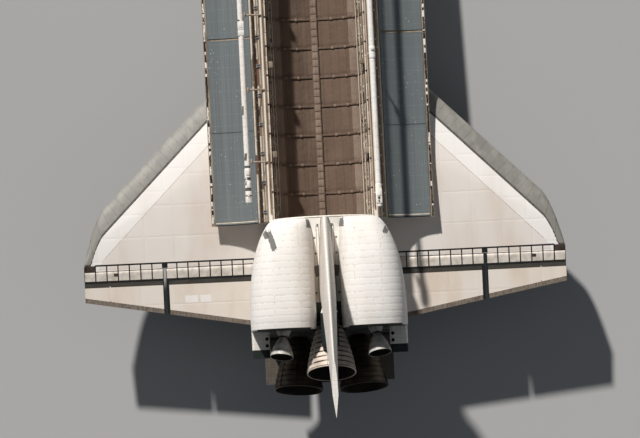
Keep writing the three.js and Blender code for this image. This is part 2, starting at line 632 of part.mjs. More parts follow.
// Payload bay doors and radiators, drawn closed and turned open on their hinge lines
const DOOR_OPEN = 175.5; // degrees
const DOOR_SKIN = 2.5;
const SEAM = 0.15;
const RADIATOR_THICK = 1.3;
const RADIATOR_JOINS = [BAY_FRONT_X, 763, 944.5, 1126, BAY_AFT_X];

// The door's section as angle share t, 0 at the hinge and 1 at the top, inset by depth
function doorPoint(t, depth) {
  const a = (t * Math.PI) / 2;
  const power = 2 / 2.2;
  const y = (BODY_HALF - depth) * Math.cos(a) ** power;
  const z = SILL_Z + (DOOR_TOP_Z - SILL_Z - depth) * Math.sin(a) ** power;
  return [Math.max(y, SEAM), Math.max(z, SILL_Z + RUN)];
}
const DOOR_STEPS = [0, 0.07, 0.14, 0.21, 0.28, 0.35, 0.42, 0.5, 0.58, 0.66, 0.74, 0.82, 0.9, 0.965, 1];
const RADIATOR_STEPS = DOOR_STEPS.slice(5, 14);
function curvedPanel(side, x0, x1, outer, inner, steps) {
  const at = (depth) => steps.map((t) => doorPoint(t, depth));
  const outline = [...at(outer), ...at(inner).reverse()];
  return loft([x0, x1].map((x) => outline.map(([y, z]) => v3(x, side * y, z))));
}

for (const [name, side] of Object.entries(SIDES)) {
  const hinge = new THREE.Group();
  hinge.position.set(0, side * BODY_HALF, SILL_Z);
  hinge.rotation.x = -side * rad(DOOR_OPEN);
  const closed = new THREE.Group();
  closed.position.copy(hinge.position).negate();
  hinge.add(closed);
  airframe.add(hinge);
  const ends = [BAY_FRONT_X + RUN, BAY_AFT_X - RUN];
  piece(`bay_door_${name}`, curvedPanel(side, ...ends, 0, DOOR_SKIN, DOOR_STEPS), "blanket", closed);
  const inner = DOOR_SKIN + REST;
  for (const [place, [a, b]] of Object.entries({ forward: [0, 2], aft: [2, 4] })) {
    const [x0, middle, x1] = [RADIATOR_JOINS[a] + 2, RADIATOR_JOINS[a + 1], RADIATOR_JOINS[b] - 2];
    const sheet = curvedPanel(side, x0, x1, inner, inner + RADIATOR_THICK, RADIATOR_STEPS);
    const groove = curvedPanel(side, middle - 0.4, middle + 0.4, inner + 0.5, inner + 3, DOOR_STEPS.slice(4));
    piece(`radiator_${place}_${name}`, cut(sheet, groove), "radiator", closed);
  }
}

// Robot arm on its pedestals along the port sill, and the sensor boom along the starboard one
const ROLL_PIVOT = { y: 100.5, z: SILL_Z + 1.43, radius: 1.4 };
const ARM_REACH = 43; // from the roll pivot
const ARM_ROLLED_OUT = rad(12);
const ARM = {
  y: -ROLL_PIVOT.y - ARM_REACH * Math.cos(ARM_ROLLED_OUT),
  z: ROLL_PIVOT.z + ARM_REACH * Math.sin(ARM_ROLLED_OUT),
  radius: 5.4, shoulder: 679.5, elbow: 931, wrist: 1206, tip: 1268,
};
const ELBOW_DROP = 5.8; // the elbow's pin lies below the tubes' axis, so that the arm can fold
const BOOM = { y: 108, z: 446, radius: 6.5, x0: 684, x1: 1288 };
const PEDESTALS = [748, 905, 1050, 1190];
const HEAD = { near: 6.9, far: 10, half: 5 }; // from the arm's axis, clear of its widest housing

const rollPoint = (x, side) => v3(x, side * ROLL_PIVOT.y, ROLL_PIVOT.z);
const rollTube = (side) => rod(rollPoint(660, side), rollPoint(1290, side), ROLL_PIVOT.radius);

function armPedestals() {
  const posts = PEDESTALS.map((x) => join(
    rod(rollPoint(x, -1), v3(x, ARM.y + 8, ARM.z - 2), 1.2, 2.2, 8),
    armBox(x - HEAD.half, x + HEAD.half, HEAD.near, HEAD.far, -HEAD.half, HEAD.half),
  ));
  const x = ARM.shoulder;
  const base = armBox(x - 8, x + 8, -4.5, 4.5, -7.6, -6.6);
  const reach = rod(rollPoint(x, -1), v3(x, ARM.y + 3, ARM.z - 7.9), 1.25, 1.25, 8);
  const trimmed = cut(reach, armBox(x - 20, x + 20, -20, 4.5, -6.6, 9));
  return join(rollTube(-1), base, trimmed, ...posts);
}

const across = (x, z, r, half, sides = 16) => rod(v3(x, ARM.y - half, z), v3(x, ARM.y + half, z), r, r, sides);
const acrossBore = (x, z, r) => bore(v3(x, ARM.y - 12, z), v3(x, ARM.y + 12, z), r);
const armTube = (x0, x1, r) => rod(v3(x0, ARM.y, ARM.z), v3(x1, ARM.y, ARM.z), r);
const armBox = (x0, x1, y0, y1, z0, z1) => box(x0, x1, ARM.y + y0, ARM.y + y1, ARM.z + z0, ARM.z + z1);

function armShoulder() {
  const x = ARM.shoulder;
  const disc = rod(v3(x, ARM.y, ARM.z - 6.58), v3(x, ARM.y, ARM.z - 5.4), 4.4, 4.4, 16);
  const yoke = armBox(x - 3.6, x + 3.6, -6.2, 6.2, -6.3, -5.2);
  const ears = [-6.2, 4.7].map((y) => armBox(x - 3.6, x + 3.6, y, y + 1.5, -6.3, 4.6));
  return cut(join(disc, yoke, ...ears), acrossBore(x, ARM.z, 2.4));
}

// A lug round the elbow's pin, below the housing that carries it. Its outline is x and z from the pin.
const LUG = { radius: 2.4, start: 3.05, end: 9, low: 0.4, high: 3.2 };
const HOUSING_LOW = LUG.radius + 0.3 - ELBOW_DROP; // leaves the other arm's lug room to turn
function elbowLug(way, y0, y1) {
  const round = Array.from({ length: 6 }, (_, i) => {
    const angle = rad(-135 + 45 * i);
    return [LUG.radius * Math.cos(angle), LUG.radius * Math.sin(angle)];
  });
  const { start, end, low, high } = LUG;
  const outline = [[-end, high], [-end, low], ...round, [-start, LUG.radius], [-start, high]];
  const ring = (y) => outline.map(([x, z]) => v3(ARM.elbow + way * x, ARM.y + y, ARM.z - ELBOW_DROP + z));
  return loft([ring(y0), ring(y1)]);
}

function upperArm() {
  const { shoulder, elbow, radius, z } = ARM;
  const pin = z - ELBOW_DROP;
  return cut(join(
    across(shoulder, z, 4.6, 4.5), across(shoulder, z, 2.4, 6.2), armTube(shoulder, shoulder + 9, 4.2),
    armTube(shoulder + 7.6, elbow - 8, radius),
    armBox(elbow - 14, elbow + 2.75, -6.2, 6.2, HOUSING_LOW, 6),
    elbowLug(1, -4.4, -2.2), elbowLug(1, 2.2, 4.4),
  ), acrossBore(elbow, pin, 1.4));
}

function lowerArm() {
  const { elbow, radius, wrist, tip, z } = ARM;
  return join(
    across(elbow, z - ELBOW_DROP, 1.4, 4.4), elbowLug(-1, -2, 2),
    armBox(elbow + 3, elbow + 14, -6.2, 6.2, HOUSING_LOW, 6),
    armTube(elbow + 10, wrist, radius),
    armTube(wrist - 4, wrist + 16, 6.4), armTube(wrist + 14, wrist + 22, 4.8),
    armTube(wrist + 20, wrist + 36, 6.4), armTube(wrist + 34, wrist + 42, 5.2),
    armTube(wrist + 40, tip, 6.6),
  );
}

function boomPedestals() {
  const posts = [700, 990, 1260].map((x) => join(
    rod(rollPoint(x, 1), v3(x, BOOM.y, BOOM.z - 9), 1.3, 2.4, 8),
    box(x - 5, x + 5, BOOM.y - 5, BOOM.y + 5, BOOM.z - 11, BOOM.z - BOOM.radius - REST),
  ));
  return join(rollTube(1), ...posts);
}

function sensorBoom() {
  const bar = (x0, x1, r) => rod(v3(x0, BOOM.y, BOOM.z), v3(x1, BOOM.y, BOOM.z), r, r, 12);
  const pack = box(BOOM.x1 - 34, BOOM.x1 - 6, BOOM.y - 6, BOOM.y + 6, BOOM.z - 2, BOOM.z + 8);
  return join(bar(BOOM.x0, BOOM.x1 - 30, 5.4), bar(BOOM.x0 + 2, BOOM.x0 + 26, BOOM.radius),
    bar(978, 1002, BOOM.radius), bar(1244, BOOM.x1, BOOM.radius), pack);
}

piece("arm_pedestals", armPedestals(), "wrap");
piece("arm_shoulder", armShoulder(), "wrap");
piece("upper_arm", upperArm(), "wrap");
piece("lower_arm", lowerArm(), "wrap");
piece("boom_pedestals", boomPedestals(), "wrap");
piece("sensor_boom", sensorBoom(), "wrap");

// External airlock with its docking ring, at the front of the bay
const AIRLOCK = { x: 650, radius: 33, low: 322, top: 446 };
function airlock() {
  const { x, low, top, radius } = AIRLOCK;
  const tank = rod(v3(x, 0, low), v3(x, 0, top), radius, radius, 24);
  const tunnel = rod(v3(BAY_FRONT_X + REST, 0, 366), v3(x, 0, 366), 22, 22, 16);
  const reach = BAY_RADIUS - REST;
  const beams = [-26, 26].map((dx) => box(x + dx - 3, x + dx + 3, -reach, reach, 402, 410));
  const neck = rod(v3(x, 0, top - 1), v3(x, 0, 462), 26, 26, 24);
  return join(tank, tunnel, ...beams, neck);
}
function dockingRing() {
  const ring = (z0, z1, outer, inner) => {
    const profile = [[inner, z0], [outer, z0], [outer, z1], [inner, z1], [inner, z0]];
    return turned(profile, v3(AIRLOCK.x, 0, 0), v3(0, 0, 1), 24);
  };
  const petals = [30, 150, 270].map((deg) => {
    const geometry = new THREE.BoxGeometry(1.6, 12, 9).translate(22.4, 0, 480).rotateZ(rad(deg));
    return solid(geometry.translate(AIRLOCK.x, 0, 0));
  });
  return join(ring(462 + REST, 470, 30, 20), ring(469, 477, 24, 21.6), ...petals);
}
piece("airlock", airlock(), "wrap");
piece("docking_ring", dockingRing(), "alloy");

// Dish antenna, stowed inside the starboard door line ahead of the boom
const DISH = { x: 612, y: 70, z: 440, radius: 15 };
function dish() {
  const profile = [[0, 3], [8, 4.2], [DISH.radius, 7.3], [DISH.radius, 6.5], [8, 3.4], [0, 2.2]];
  const bowl = turned(profile, v3(DISH.x, DISH.y + 3, DISH.z), v3(0, -1, 0), 20);
  const hub = rod(v3(DISH.x, DISH.y + 9, DISH.z), v3(DISH.x, DISH.y - 0.2, DISH.z), 4, 4, 16);
  const foot = box(DISH.x - 4, DISH.x + 4, BAY_RADIUS - 4, BAY_RADIUS + 3, SILL_Z + REST, SILL_Z + 7);
  const post = rod(v3(DISH.x, BAY_RADIUS - 1, SILL_Z + 5), v3(DISH.x, DISH.y + 6, DISH.z - 1), 2.6, 2.6, 8);
  return join(bowl, hub, post, foot);
}
piece("dish_antenna", dish(), "alloy");

// Landing gear. The ground passes under the main wheels, and the nose axle follows from it.
const pitchSin = Math.sin(rad(PARKED_PITCH));
const pitchCos = Math.cos(rad(PARKED_PITCH));
const GROUND = MAIN_AXLE.x * pitchSin + MAIN_AXLE.z * pitchCos - MAIN_AXLE.radius;
const noseAxleZ = (GROUND + NOSE_AXLE.radius - NOSE_AXLE.x * pitchSin) / pitchCos;

const WHEEL_SIDES = 20;

// Twin wheels on one axle: profile is [radius, distance from the wheel's middle]
function twinWheels(x, y, z, radius, width, offset, axle) {
  const hub = radius * 0.52;
  const half = width / 2;
  const profile = [
    [0, -half * 0.5], [hub * 0.9, -half * 0.5], [hub, -half * 0.9], [radius * 0.86, -half],
    [radius, -half * 0.5], [radius, half * 0.5],
    [radius * 0.86, half], [hub, half * 0.9], [hub * 0.9, half * 0.5], [0, half * 0.5],
  ];
  const wheels = [-1, 1].map((s) =>
    turned(profile, v3(x, y + s * offset, z), v3(0, 1, 0), WHEEL_SIDES, rad(PARKED_PITCH)));
  return join(...wheels, rod(v3(x, y - offset, z), v3(x, y + offset, z), axle, axle, 16));
}

function mainLeg(side) {
  const y = side * MAIN_AXLE.y;
  const { x, z } = MAIN_AXLE;
  const top = v3(x + 2, y, MAIN_WELL.roof - REST);
  const knee = v3(x + 2, y, 238);
  const foot = rod(v3(x, y - 7, z), v3(x, y + 7, z), 7, 7, 20);
  const cylinder = rod(top, knee, 8, 7.4);
  const piston = rod(v3(x + 2, y, 240), v3(x, y, z), 5);
  const brace = rod(v3(x - 92, y, MAIN_WELL.roof - 9), v3(x, y, 244), 3.6, 3.6, 12);
  const anchor = box(x - 98, x - 86, y - 9, y + 9, MAIN_WELL.roof - 16, MAIN_WELL.roof - REST);
  const link = (from, to) => rod(v3(x + from[0], y, from[1]), v3(x + to[0], y, to[1]), 2.2, 2.2, 8);
  const links = join(link([5, 236], [17, 217]), link([17, 217], [4, z + 4]));
  const axle = bore(v3(x, y - 12, z), v3(x, y + 12, z), 3.5);
  return cut(join(foot, cylinder, piston, brace, anchor, links), axle);
}
// A gear door hangs outboard of its leg, its upper edge under the wing's skin.
function mainGearDoor(side) {
  const y = MAIN_WELL.y1 + 1.6;
  const lowered = (ring) => ring.map((q) => v3(q.x, q.y, q.z - REST));
  const wing = loft(WING_STATIONS.slice(0, 6).map((at) => lowered(wingRing(at, side))));
  return cut(sideBox(MAIN_WELL.x0 + 2, MAIN_WELL.x1 - 4, side, y, y + 3, 214, 275), wing);
}
for (const [name, side] of Object.entries(SIDES)) {
  const { x, y, z, radius } = MAIN_AXLE;
  piece(`main_leg_${name}`, mainLeg(side), "steel");
  piece(`main_wheels_${name}`, twinWheels(x, side * y, z, radius, 16, 17, 3.5), "tyre");
  piece(`main_gear_door_${name}`, mainGearDoor(side), "blackTile");
}

const STRUT_FOOT = 262; // height at which the nose strut's turning part begins
function noseLeg() {
  const x = NOSE_AXLE.x;
  const post = rod(v3(x, 0, STRUT_FOOT), v3(x, 0, NOSE_WELL.roof - REST), 5, 6);
  const brace = rod(v3(x - 62, 0, NOSE_WELL.roof - 7), v3(x - 1, 0, 274), 2.6);
  const anchor = box(x - 68, x - 56, -7, 7, NOSE_WELL.roof - 14, NOSE_WELL.roof - REST);
  const trunnion = rod(v3(x, -NOSE_WELL.half + REST, 318), v3(x, NOSE_WELL.half - REST, 318), 3);
  return join(post, brace, anchor, trunnion);
}
function noseFork() {
  const x = NOSE_AXLE.x;
  const piston = rod(v3(x, 0, noseAxleZ), v3(x, 0, STRUT_FOOT - REST), 3.6, 4.4);
  const foot = rod(v3(x, -4.6, noseAxleZ), v3(x, 4.6, noseAxleZ), 4.6, 4.6, 20);
  const axle = bore(v3(x, -9, noseAxleZ), v3(x, 9, noseAxleZ), 2.2);
  return cut(join(piston, foot), axle);
}
piece("nose_leg", noseLeg(), "steel");
piece("nose_fork", noseFork(), "steel");
piece("nose_wheels", twinWheels(NOSE_AXLE.x, 0, noseAxleZ, NOSE_AXLE.radius, 8.8, 10.6, 2.2), "tyre");
for (const [name, side] of Object.entries(SIDES)) {
  const y = NOSE_WELL.half + 0.6;
  const door = sideBox(NOSE_WELL.x0 + 4, NOSE_WELL.x1 - 4, side, y, y + 2, 263, 300);
  piece(`nose_gear_door_${name}`, cut(door, body(noseRows, REST)), "blackTile");
}

// The part's frame: on the floor, centred under its own box
airframe.position.z = -GROUND * INCH;
orbiter.updateMatrixWorld(true);
const extent = new THREE.Box3().setFromObject(orbiter, true);
airframe.position.x = -(extent.min.x + extent.max.x) / 2;

export default orbiter;
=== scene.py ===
"""The looks of a winged orbiter parked on its gear with its payload bay open.

Shapes are drawn in inches on the airframe's own stations, x aft, y to starboard and z up, and are
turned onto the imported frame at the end. Seen from the main camera the nose points up the picture.
"""

import json
import random
from math import acos, copysign, cos, hypot, pi, radians, sin, sqrt, tan, tau

import bmesh
import bpy
from mathutils import Matrix, Vector, noise


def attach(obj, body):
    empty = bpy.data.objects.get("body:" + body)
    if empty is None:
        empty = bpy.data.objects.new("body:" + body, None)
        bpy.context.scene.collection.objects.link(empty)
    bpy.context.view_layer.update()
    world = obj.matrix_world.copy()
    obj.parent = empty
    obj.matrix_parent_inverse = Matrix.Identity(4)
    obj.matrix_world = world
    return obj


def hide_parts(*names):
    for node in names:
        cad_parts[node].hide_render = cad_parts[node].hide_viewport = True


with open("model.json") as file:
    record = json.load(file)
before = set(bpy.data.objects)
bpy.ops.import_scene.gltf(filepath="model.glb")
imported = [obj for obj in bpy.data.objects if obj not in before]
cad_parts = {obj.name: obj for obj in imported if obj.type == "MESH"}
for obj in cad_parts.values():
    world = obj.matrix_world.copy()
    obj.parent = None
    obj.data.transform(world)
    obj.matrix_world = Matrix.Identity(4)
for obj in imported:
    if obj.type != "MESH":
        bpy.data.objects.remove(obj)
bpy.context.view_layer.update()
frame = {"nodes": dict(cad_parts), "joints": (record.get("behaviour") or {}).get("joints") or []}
NODES = frame["nodes"]
JOINTS = {joint["name"]: joint for joint in frame["joints"]}
draw = random.Random(7)

# The airframe's stations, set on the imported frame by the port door's hinge
INCH = 0.0254
PARKED_PITCH = radians(4)
DOOR_MIDDLE = Vector((945, -105, 412))
TURN = Matrix.Rotation(-PARKED_PITCH, 4, "Y")
HINGE = Vector(JOINTS["door_port"]["pos_m"])
TO_ROW = Matrix.Translation(HINGE) @ TURN @ Matrix.Scale(INCH, 4) @ Matrix.Translation(-DOOR_MIDDLE)

SIDES = {"port": -1, "starboard": 1}
CAP_END_X = 262
BAY_FRONT_X = 582
BAY_AFT_X = 1307
BODY_HALF = 105
SILL_Z = 412
DOOR_TOP_Z = 500
BAY_RADIUS = 94
BAY_AXIS_Z = 400
HALF_SPAN = 468.34
HINGE_X = 1387
DIHEDRAL = tan(radians(3.5))


def mix(a, b, t):
    return a + (b - a) * t


def steps(count):
    """Shares from 0 to 1, both included."""
    return [i / count for i in range(count + 1)]


def smooth(rows, per_row):
    """A table's rows with others between them, on curves through every row."""
    made = []
    last = len(rows) - 1
    for i in range(last):
        near = [rows[max(0, min(last, k))] for k in (i - 1, i, i + 1, i + 2)]
        for f in steps(per_row)[:-1]:
            made.append([between(*values, f) for values in zip(*near)])
    return made + [list(rows[-1])]


def between(a, b, c, d, f):
    """The value a share f of the way from b to c, on a curve that also heeds a and d."""
    return 0.5 * (2 * b + (c - a) * f + (2 * a - 5 * b + 4 * c - d) * f**2 + (3 * b - a - 3 * c + d) * f**3)


# Mesh tools, each working on a bmesh drawn in stations


def meshes(count):
    return [bmesh.new() for _ in range(count)]


def face_out(bm):
    bmesh.ops.recalc_face_normals(bm, faces=bm.faces)


def loft(bm, rings, closed=True, capped=True):
    """Extrudes a loop of points from ring to ring."""
    verts = [bm.verts.new(p) for p in rings[0]]
    first = verts
    for ring in rings[1:]:
        pairs = zip(verts, verts[1:] + (verts[:1] if closed else []))
        edges = [bm.edges.get(pair) or bm.edges.new(pair) for pair in pairs]
        made = bmesh.ops.extrude_edge_only(bm, edges=edges)["geom"]
        fresh = {v for v in made if isinstance(v, bmesh.types.BMVert)}
        verts = [next(e.other_vert(v) for e in v.link_edges if e.other_vert(v) in fresh) for v in verts]
        for vert, point in zip(verts, ring):
            vert.co = point
    if capped:
        bm.faces.new(first)
        bm.faces.new(verts)
    return bm


def turned_to(base, way):
    """The matrix that stands local z on base, pointing along way."""
    return Matrix.Translation(base) @ Vector(way).to_track_quat("Z", "Y").to_matrix().to_4x4()


def spun(bm, profile, base, way, count=48):
    """Spins a profile of radius and height about a line from base along way."""
    verts = [bm.verts.new((r, 0, h)) for r, h in profile]
    edges = [bm.edges.new(pair) for pair in zip(verts, verts[1:])]
    geom = verts + edges
    before = set(bm.verts) - set(verts)
    bmesh.ops.spin(bm, geom=geom, cent=(0, 0, 0), axis=(0, 0, 1), angle=tau, steps=count, use_merge=True)
    made = [v for v in bm.verts if v not in before]
    bmesh.ops.remove_doubles(bm, verts=made, dist=0.001)
    made = [v for v in bm.verts if v not in before]
    bmesh.ops.transform(bm, matrix=turned_to(base, way), verts=made)
    return bm


def bar(bm, start, end, radius, radius_end=None, sides=20):
    """A round bar between two points."""
    start, end = Vector(start), Vector(end)
    way = end - start
    place = turned_to((start + end) / 2, way)
    radii = {"radius1": radius, "radius2": radius if radius_end is None else radius_end}
    bmesh.ops.create_cone(bm, cap_ends=True, segments=sides, depth=way.length, matrix=place, **radii)
    return bm


def tube(bm, points, radius, sides=8):
    """A round tube along a line of points."""
    points = [Vector(p) for p in points]
    rings = []
    for i, point in enumerate(points):
        way = points[min(i + 1, len(points) - 1)] - points[max(i - 1, 0)]
        place = turned_to(point, way)
        angles = [tau * k / sides for k in range(sides)]
        rings.append([place @ Vector((radius * cos(a), radius * sin(a), 0)) for a in angles])
    return loft(bm, rings)


def block(bm, low, high, bevel=0.0, place=None, index=0):
    """A box between two corners, with its edges rounded by bevel."""
    low, high = Vector(low), Vector(high)
    size = Matrix.Diagonal((*(high - low), 1))
    where = (place or Matrix()) @ Matrix.Translation((low + high) / 2) @ size
    verts = bmesh.ops.create_cube(bm, size=1, matrix=where)["verts"]
    faces = {face for vert in verts for face in vert.link_faces}
    for face in faces:
        face.material_index = index
    if bevel:
        edges = list({edge for vert in verts for edge in vert.link_edges})
        bmesh.ops.bevel(bm, geom=edges, offset=bevel, segments=2, affect="EDGES", profile=0.5, material=-1)
    return bm


def mesh_object(name, bm):
    mesh = bpy.data.meshes.new(name)
    bm.to_mesh(mesh)
    made = bpy.data.objects.new(name, mesh)
    bpy.context.scene.collection.objects.link(made)
    return made


def discard(made):
    mesh = made.data
    bpy.data.objects.remove(made)
    bpy.data.meshes.remove(mesh)


def carve(bm, tool, operation="DIFFERENCE"):
    """Cuts one closed bmesh by another. The tool's faces keep their material index."""
    for each in (bm, tool):
        face_out(each)
    body, cutter = mesh_object("body", bm), mesh_object("cutter", tool)
    for made in (body, cutter):
        for _ in range(4):
            made.data.materials.append(None)
    step = body.modifiers.new("carve", "BOOLEAN")
    step.object, step.operation, step.solver, step.material_mode = cutter, operation, "EXACT", "INDEX"
    seen = body.evaluated_get(bpy.context.evaluated_depsgraph_get())
    result = bpy.data.meshes.new_from_object(seen)
    bm.clear()
    bm.from_mesh(result)
    bpy.data.meshes.remove(result)
    discard(body)
    discard(cutter)
    tool.free()
    return bm


def join_into(bm, other):
    mesh = bpy.data.meshes.new("joined")
    other.to_mesh(mesh)
    other.free()
    bm.from_mesh(mesh)
    bpy.data.meshes.remove(mesh)


def paint(bm, choose):
    """Gives each face the material index that choose returns for its middle and its normal, if any."""
    for face in bm.faces:
        index = choose(face.calc_center_median(), face.normal, face.material_index)
        if index is not None:
            face.material_index = index


def piece(name, bm, finishes, replaces=(), sharp=32, turn=None, body="airframe"):
    """Makes a finished piece of a bmesh: welded, facing outwards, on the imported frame, riding on its body.
    Its faces' material indexes follow the order of its finishes."""
    bmesh.ops.remove_doubles(bm, verts=bm.verts, dist=0.003)
    face_out(bm)
    bm.transform(TO_ROW @ (turn or Matrix()))
    limit = radians(sharp)
    for face in bm.faces:
        face.smooth = True
    for edge in bm.edges:
        edge.smooth = len(edge.link_faces) == 2 and edge.calc_face_angle(0) < limit
    made = mesh_object(name, bm)
    bm.free()
    for finish in finishes:
        made.data.materials.append(FINISH[finish])
    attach(made, body)
    if replaces:
        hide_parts(*replaces)
    return made


# Finishes


def srgb(code):
    """An sRGB hex value as linear colour."""
    parts = [int(code[i:i + 2], 16) / 255 for i in (1, 3, 5)]
    return [p / 12.92 if p <= 0.04045 else ((p + 0.055) / 1.055) ** 2.4 for p in parts] + [1]


# What a Mix node of two colours, at its inputs 6 and 7, is set to
COLOURS = {"out": 2, "data_type": "RGBA"}


def add(tree, kind, inputs=None, out=0, **settings):
    """Adds a shader node with its settings, values, sRGB colours and links. Returns one of its outputs."""
    made = tree.nodes.new("ShaderNode" + kind)
    for key, value in settings.items():
        setattr(made, key, value)
    for key, value in (inputs or {}).items():
        if isinstance(value, bpy.types.NodeSocket):
            tree.links.new(value, made.inputs[key])
        else:
            made.inputs[key].default_value = srgb(value) if isinstance(value, str) else value
    return made.outputs[out]


def start(name, roughness, metallic=0.0, ior=1.5):
    """A new finish: its node tree, its shader and the station coordinates in inches."""
    made = bpy.data.materials.new(name)
    made.use_nodes = True
    tree = made.node_tree
    shader = tree.nodes["Principled BSDF"]
    shader.inputs["Roughness"].default_value = roughness
    shader.inputs["Metallic"].default_value = metallic
    shader.inputs["IOR"].default_value = ior
    here = add(tree, "TexCoord", out=3)
    zero = TO_ROW.inverted() @ Vector()
    stations = add(tree, "Mapping", {0: here, 1: zero, 2: (0, PARKED_PITCH, 0), 3: [1 / INCH] * 3})
    return made, tree, shader, stations


def connect(tree, shader, sockets):
    for name, value in sockets.items():
        tree.links.new(value, shader.inputs[name])


def patches(tree, where, size, low=0.4, high=0.7, stretch=(1, 1, 1), detail=3.0):
    """Soft patches about size inches across, from 0 between them to 1 in their middles."""
    scaled = add(tree, "Mapping", {0: where, 3: [s / size for s in stretch]})
    cloud = add(tree, "TexNoise", {"Vector": scaled, "Scale": 1.0, "Detail": detail})
    return add(tree, "MapRange", {0: cloud, 1: low, 2: high}, interpolation_type="SMOOTHSTEP")


def seams(tree, where, pitch, spin=0.0):
    """Tiles or quilts: the distance to the nearest seam in inches, and a random tone for each tile.
    Seams run along the two axes that the surface doesn't face."""
    turned = add(tree, "Mapping", {0: where, 2: (0, 0, spin)})
    facing = add(tree, "TexCoord", out=1)
    level = add(tree, "VectorMath", {0: facing}, operation="ABSOLUTE")
    across = [add(tree, "SeparateXYZ", {0: level}, k) for k in range(3)]
    lies = [add(tree, "Math", {0: across[k], 1: 0.66}, operation="LESS_THAN") for k in range(3)]
    along = add(tree, "CombineXYZ", {0: lies[0], 1: lies[1], 2: lies[2]})
    shares = add(tree, "VectorMath", {0: turned, 1: pitch}, operation="DIVIDE")
    kept = add(tree, "VectorMath", {0: shares, 1: along}, operation="MULTIPLY")
    cell = add(tree, "VectorMath", {0: kept}, operation="FLOOR")
    tone = add(tree, "TexWhiteNoise", {"Vector": cell}, noise_dimensions="3D")
    nearest = None
    for k in range(3):
        part = add(tree, "SeparateXYZ", {0: kept}, k)
        off = add(tree, "Math", {0: part, 1: 0.5}, operation="PINGPONG")
        inches = add(tree, "Math", {0: off, 1: pitch[k]}, operation="MULTIPLY")
        away = add(tree, "Math", {0: lies[k], 1: -900.0, 2: 900.0}, operation="MULTIPLY_ADD")
        total = add(tree, "Math", {0: inches, 1: away}, operation="ADD")
        if nearest is None:
            nearest = total
        else:
            nearest = add(tree, "Math", {0: nearest, 1: total}, operation="MINIMUM")
    return nearest, tone


def quilted(name, cloth, stain, seam, pitch=(31, 27, 27), rough=0.9, puff=0.4, line=0.3, dashed=0.0):
    """Blankets sewn of silica cloth: matte, each sheet a little apart in tone, puffed up between seams.
    Dashed seams come and go, as where the sealant has worn. The pitch is the sheets' real size in inches.
    Threads under 1 mm are too fine to show, so the bump draws tufts 76 mm apart."""
    made, tree, shader, where = start(name, rough)
    edge, tone = seams(tree, where, pitch)
    stitch, _ = seams(tree, where, (3, 3, 3))
    worn = patches(tree, where, 70, 0.42, 0.78, (0.35, 1, 1))
    share = add(tree, "Math", {0: tone, 1: 0.22, 2: worn}, operation="MULTIPLY_ADD", use_clamp=True)
    colour = add(tree, "Mix", {0: share, 6: cloth, 7: stain}, **COLOURS)
    drawn = add(tree, "MapRange", {0: edge, 1: 0.35, 2: 0.95, 3: line, 4: 0.0})
    if dashed:
        broken = patches(tree, where, 5, 0.5, 0.56, (1, 0.6, 0.6), 4.0)
        drawn = add(tree, "Math", {0: drawn, 1: broken}, operation="MULTIPLY")
        marks = patches(tree, where, 7, 0.70, 0.73, (1.6, 0.8, 0.8), 4.0)
        spots = add(tree, "Math", {0: marks, 1: dashed}, operation="MULTIPLY")
        drawn = add(tree, "Math", {0: drawn, 1: spots}, operation="MAXIMUM")
    colour = add(tree, "Mix", {0: drawn, 6: colour, 7: seam}, **COLOURS)
    pillow = add(tree, "MapRange", {0: edge, 1: 0.0, 2: 3.0})
    tufts = add(tree, "MapRange", {0: stitch, 1: 0.0, 2: 1.2, 3: 0.0, 4: 0.25})
    height = add(tree, "Math", {0: pillow, 1: tufts}, operation="ADD")
    bump = add(tree, "Bump", {"Height": height, "Distance": puff * INCH, "Strength": 0.5})
    connect(tree, shader, {"Base Color": colour, "Normal": bump})
    return made


def tiled(name, colour, other, gap, pitch=6.0, spin=0.0, rough=0.5, spread=0.35, wear="#8d8a84", line=0.5):
    """Glazed silica tiles, 152 mm square unless pitch says otherwise: each has its own tone and gloss.
    The joints of 1 to 2 mm are drawn 6 to 20 mm wide, or they wouldn't show."""
    made, tree, shader, where = start(name, rough)
    edge, tone = seams(tree, where, (pitch,) * 3, spin)
    share = add(tree, "Math", {0: tone, 1: spread}, operation="MULTIPLY")
    base = add(tree, "Mix", {0: share, 6: colour, 7: other}, **COLOURS)
    scuffed = patches(tree, where, 40, 0.56, 0.8, (0.3, 1, 1), 5.0)
    scuff = add(tree, "Math", {0: scuffed, 1: 0.2}, operation="MULTIPLY")
    base = add(tree, "Mix", {0: scuff, 6: base, 7: wear}, **COLOURS)
    drawn = add(tree, "MapRange", {0: edge, 1: 0.12, 2: 0.42, 3: line, 4: 0.0})
    base = add(tree, "Mix", {0: drawn, 6: base, 7: gap}, **COLOURS)
    gloss = add(tree, "Math", {0: tone, 1: 0.18, 2: rough - 0.09}, operation="MULTIPLY_ADD")
    sunk = add(tree, "MapRange", {0: edge, 1: 0.1, 2: 0.5})
    bump = add(tree, "Bump", {"Height": sunk, "Distance": 0.15 * INCH, "Strength": 0.6})
    connect(tree, shader, {"Base Color": base, "Roughness": gloss, "Normal": bump})
    return made


def mottled(name, colour, other, size, rough=0.5, metallic=0.0, stretch=(1, 1, 1), grain=0.4, spread=0.25):
    """A coat or bare metal whose colour and gloss drift over size inches, with a grain in the bump.
    The real grain is under 1 mm, and is drawn 10 mm or more across to show."""
    made, tree, shader, where = start(name, rough, metallic)
    drift = patches(tree, where, size, 0.35, 0.7, stretch, 4.0)
    tint = add(tree, "Mix", {0: drift, 6: colour, 7: other}, **COLOURS)
    handled = patches(tree, where, size * 0.4, 0.3, 0.7, stretch)
    low, high = max(0.03, rough * (1 - spread)), min(1.0, rough * (1 + spread))
    gloss = add(tree, "MapRange", {0: handled, 3: low, 4: high})
    fine = patches(tree, where, grain, 0.2, 0.8)
    bump = add(tree, "Bump", {"Height": fine, "Distance": 0.04 * INCH, "Strength": 0.5})
    connect(tree, shader, {"Base Color": tint, "Roughness": gloss, "Normal": bump})
    return made


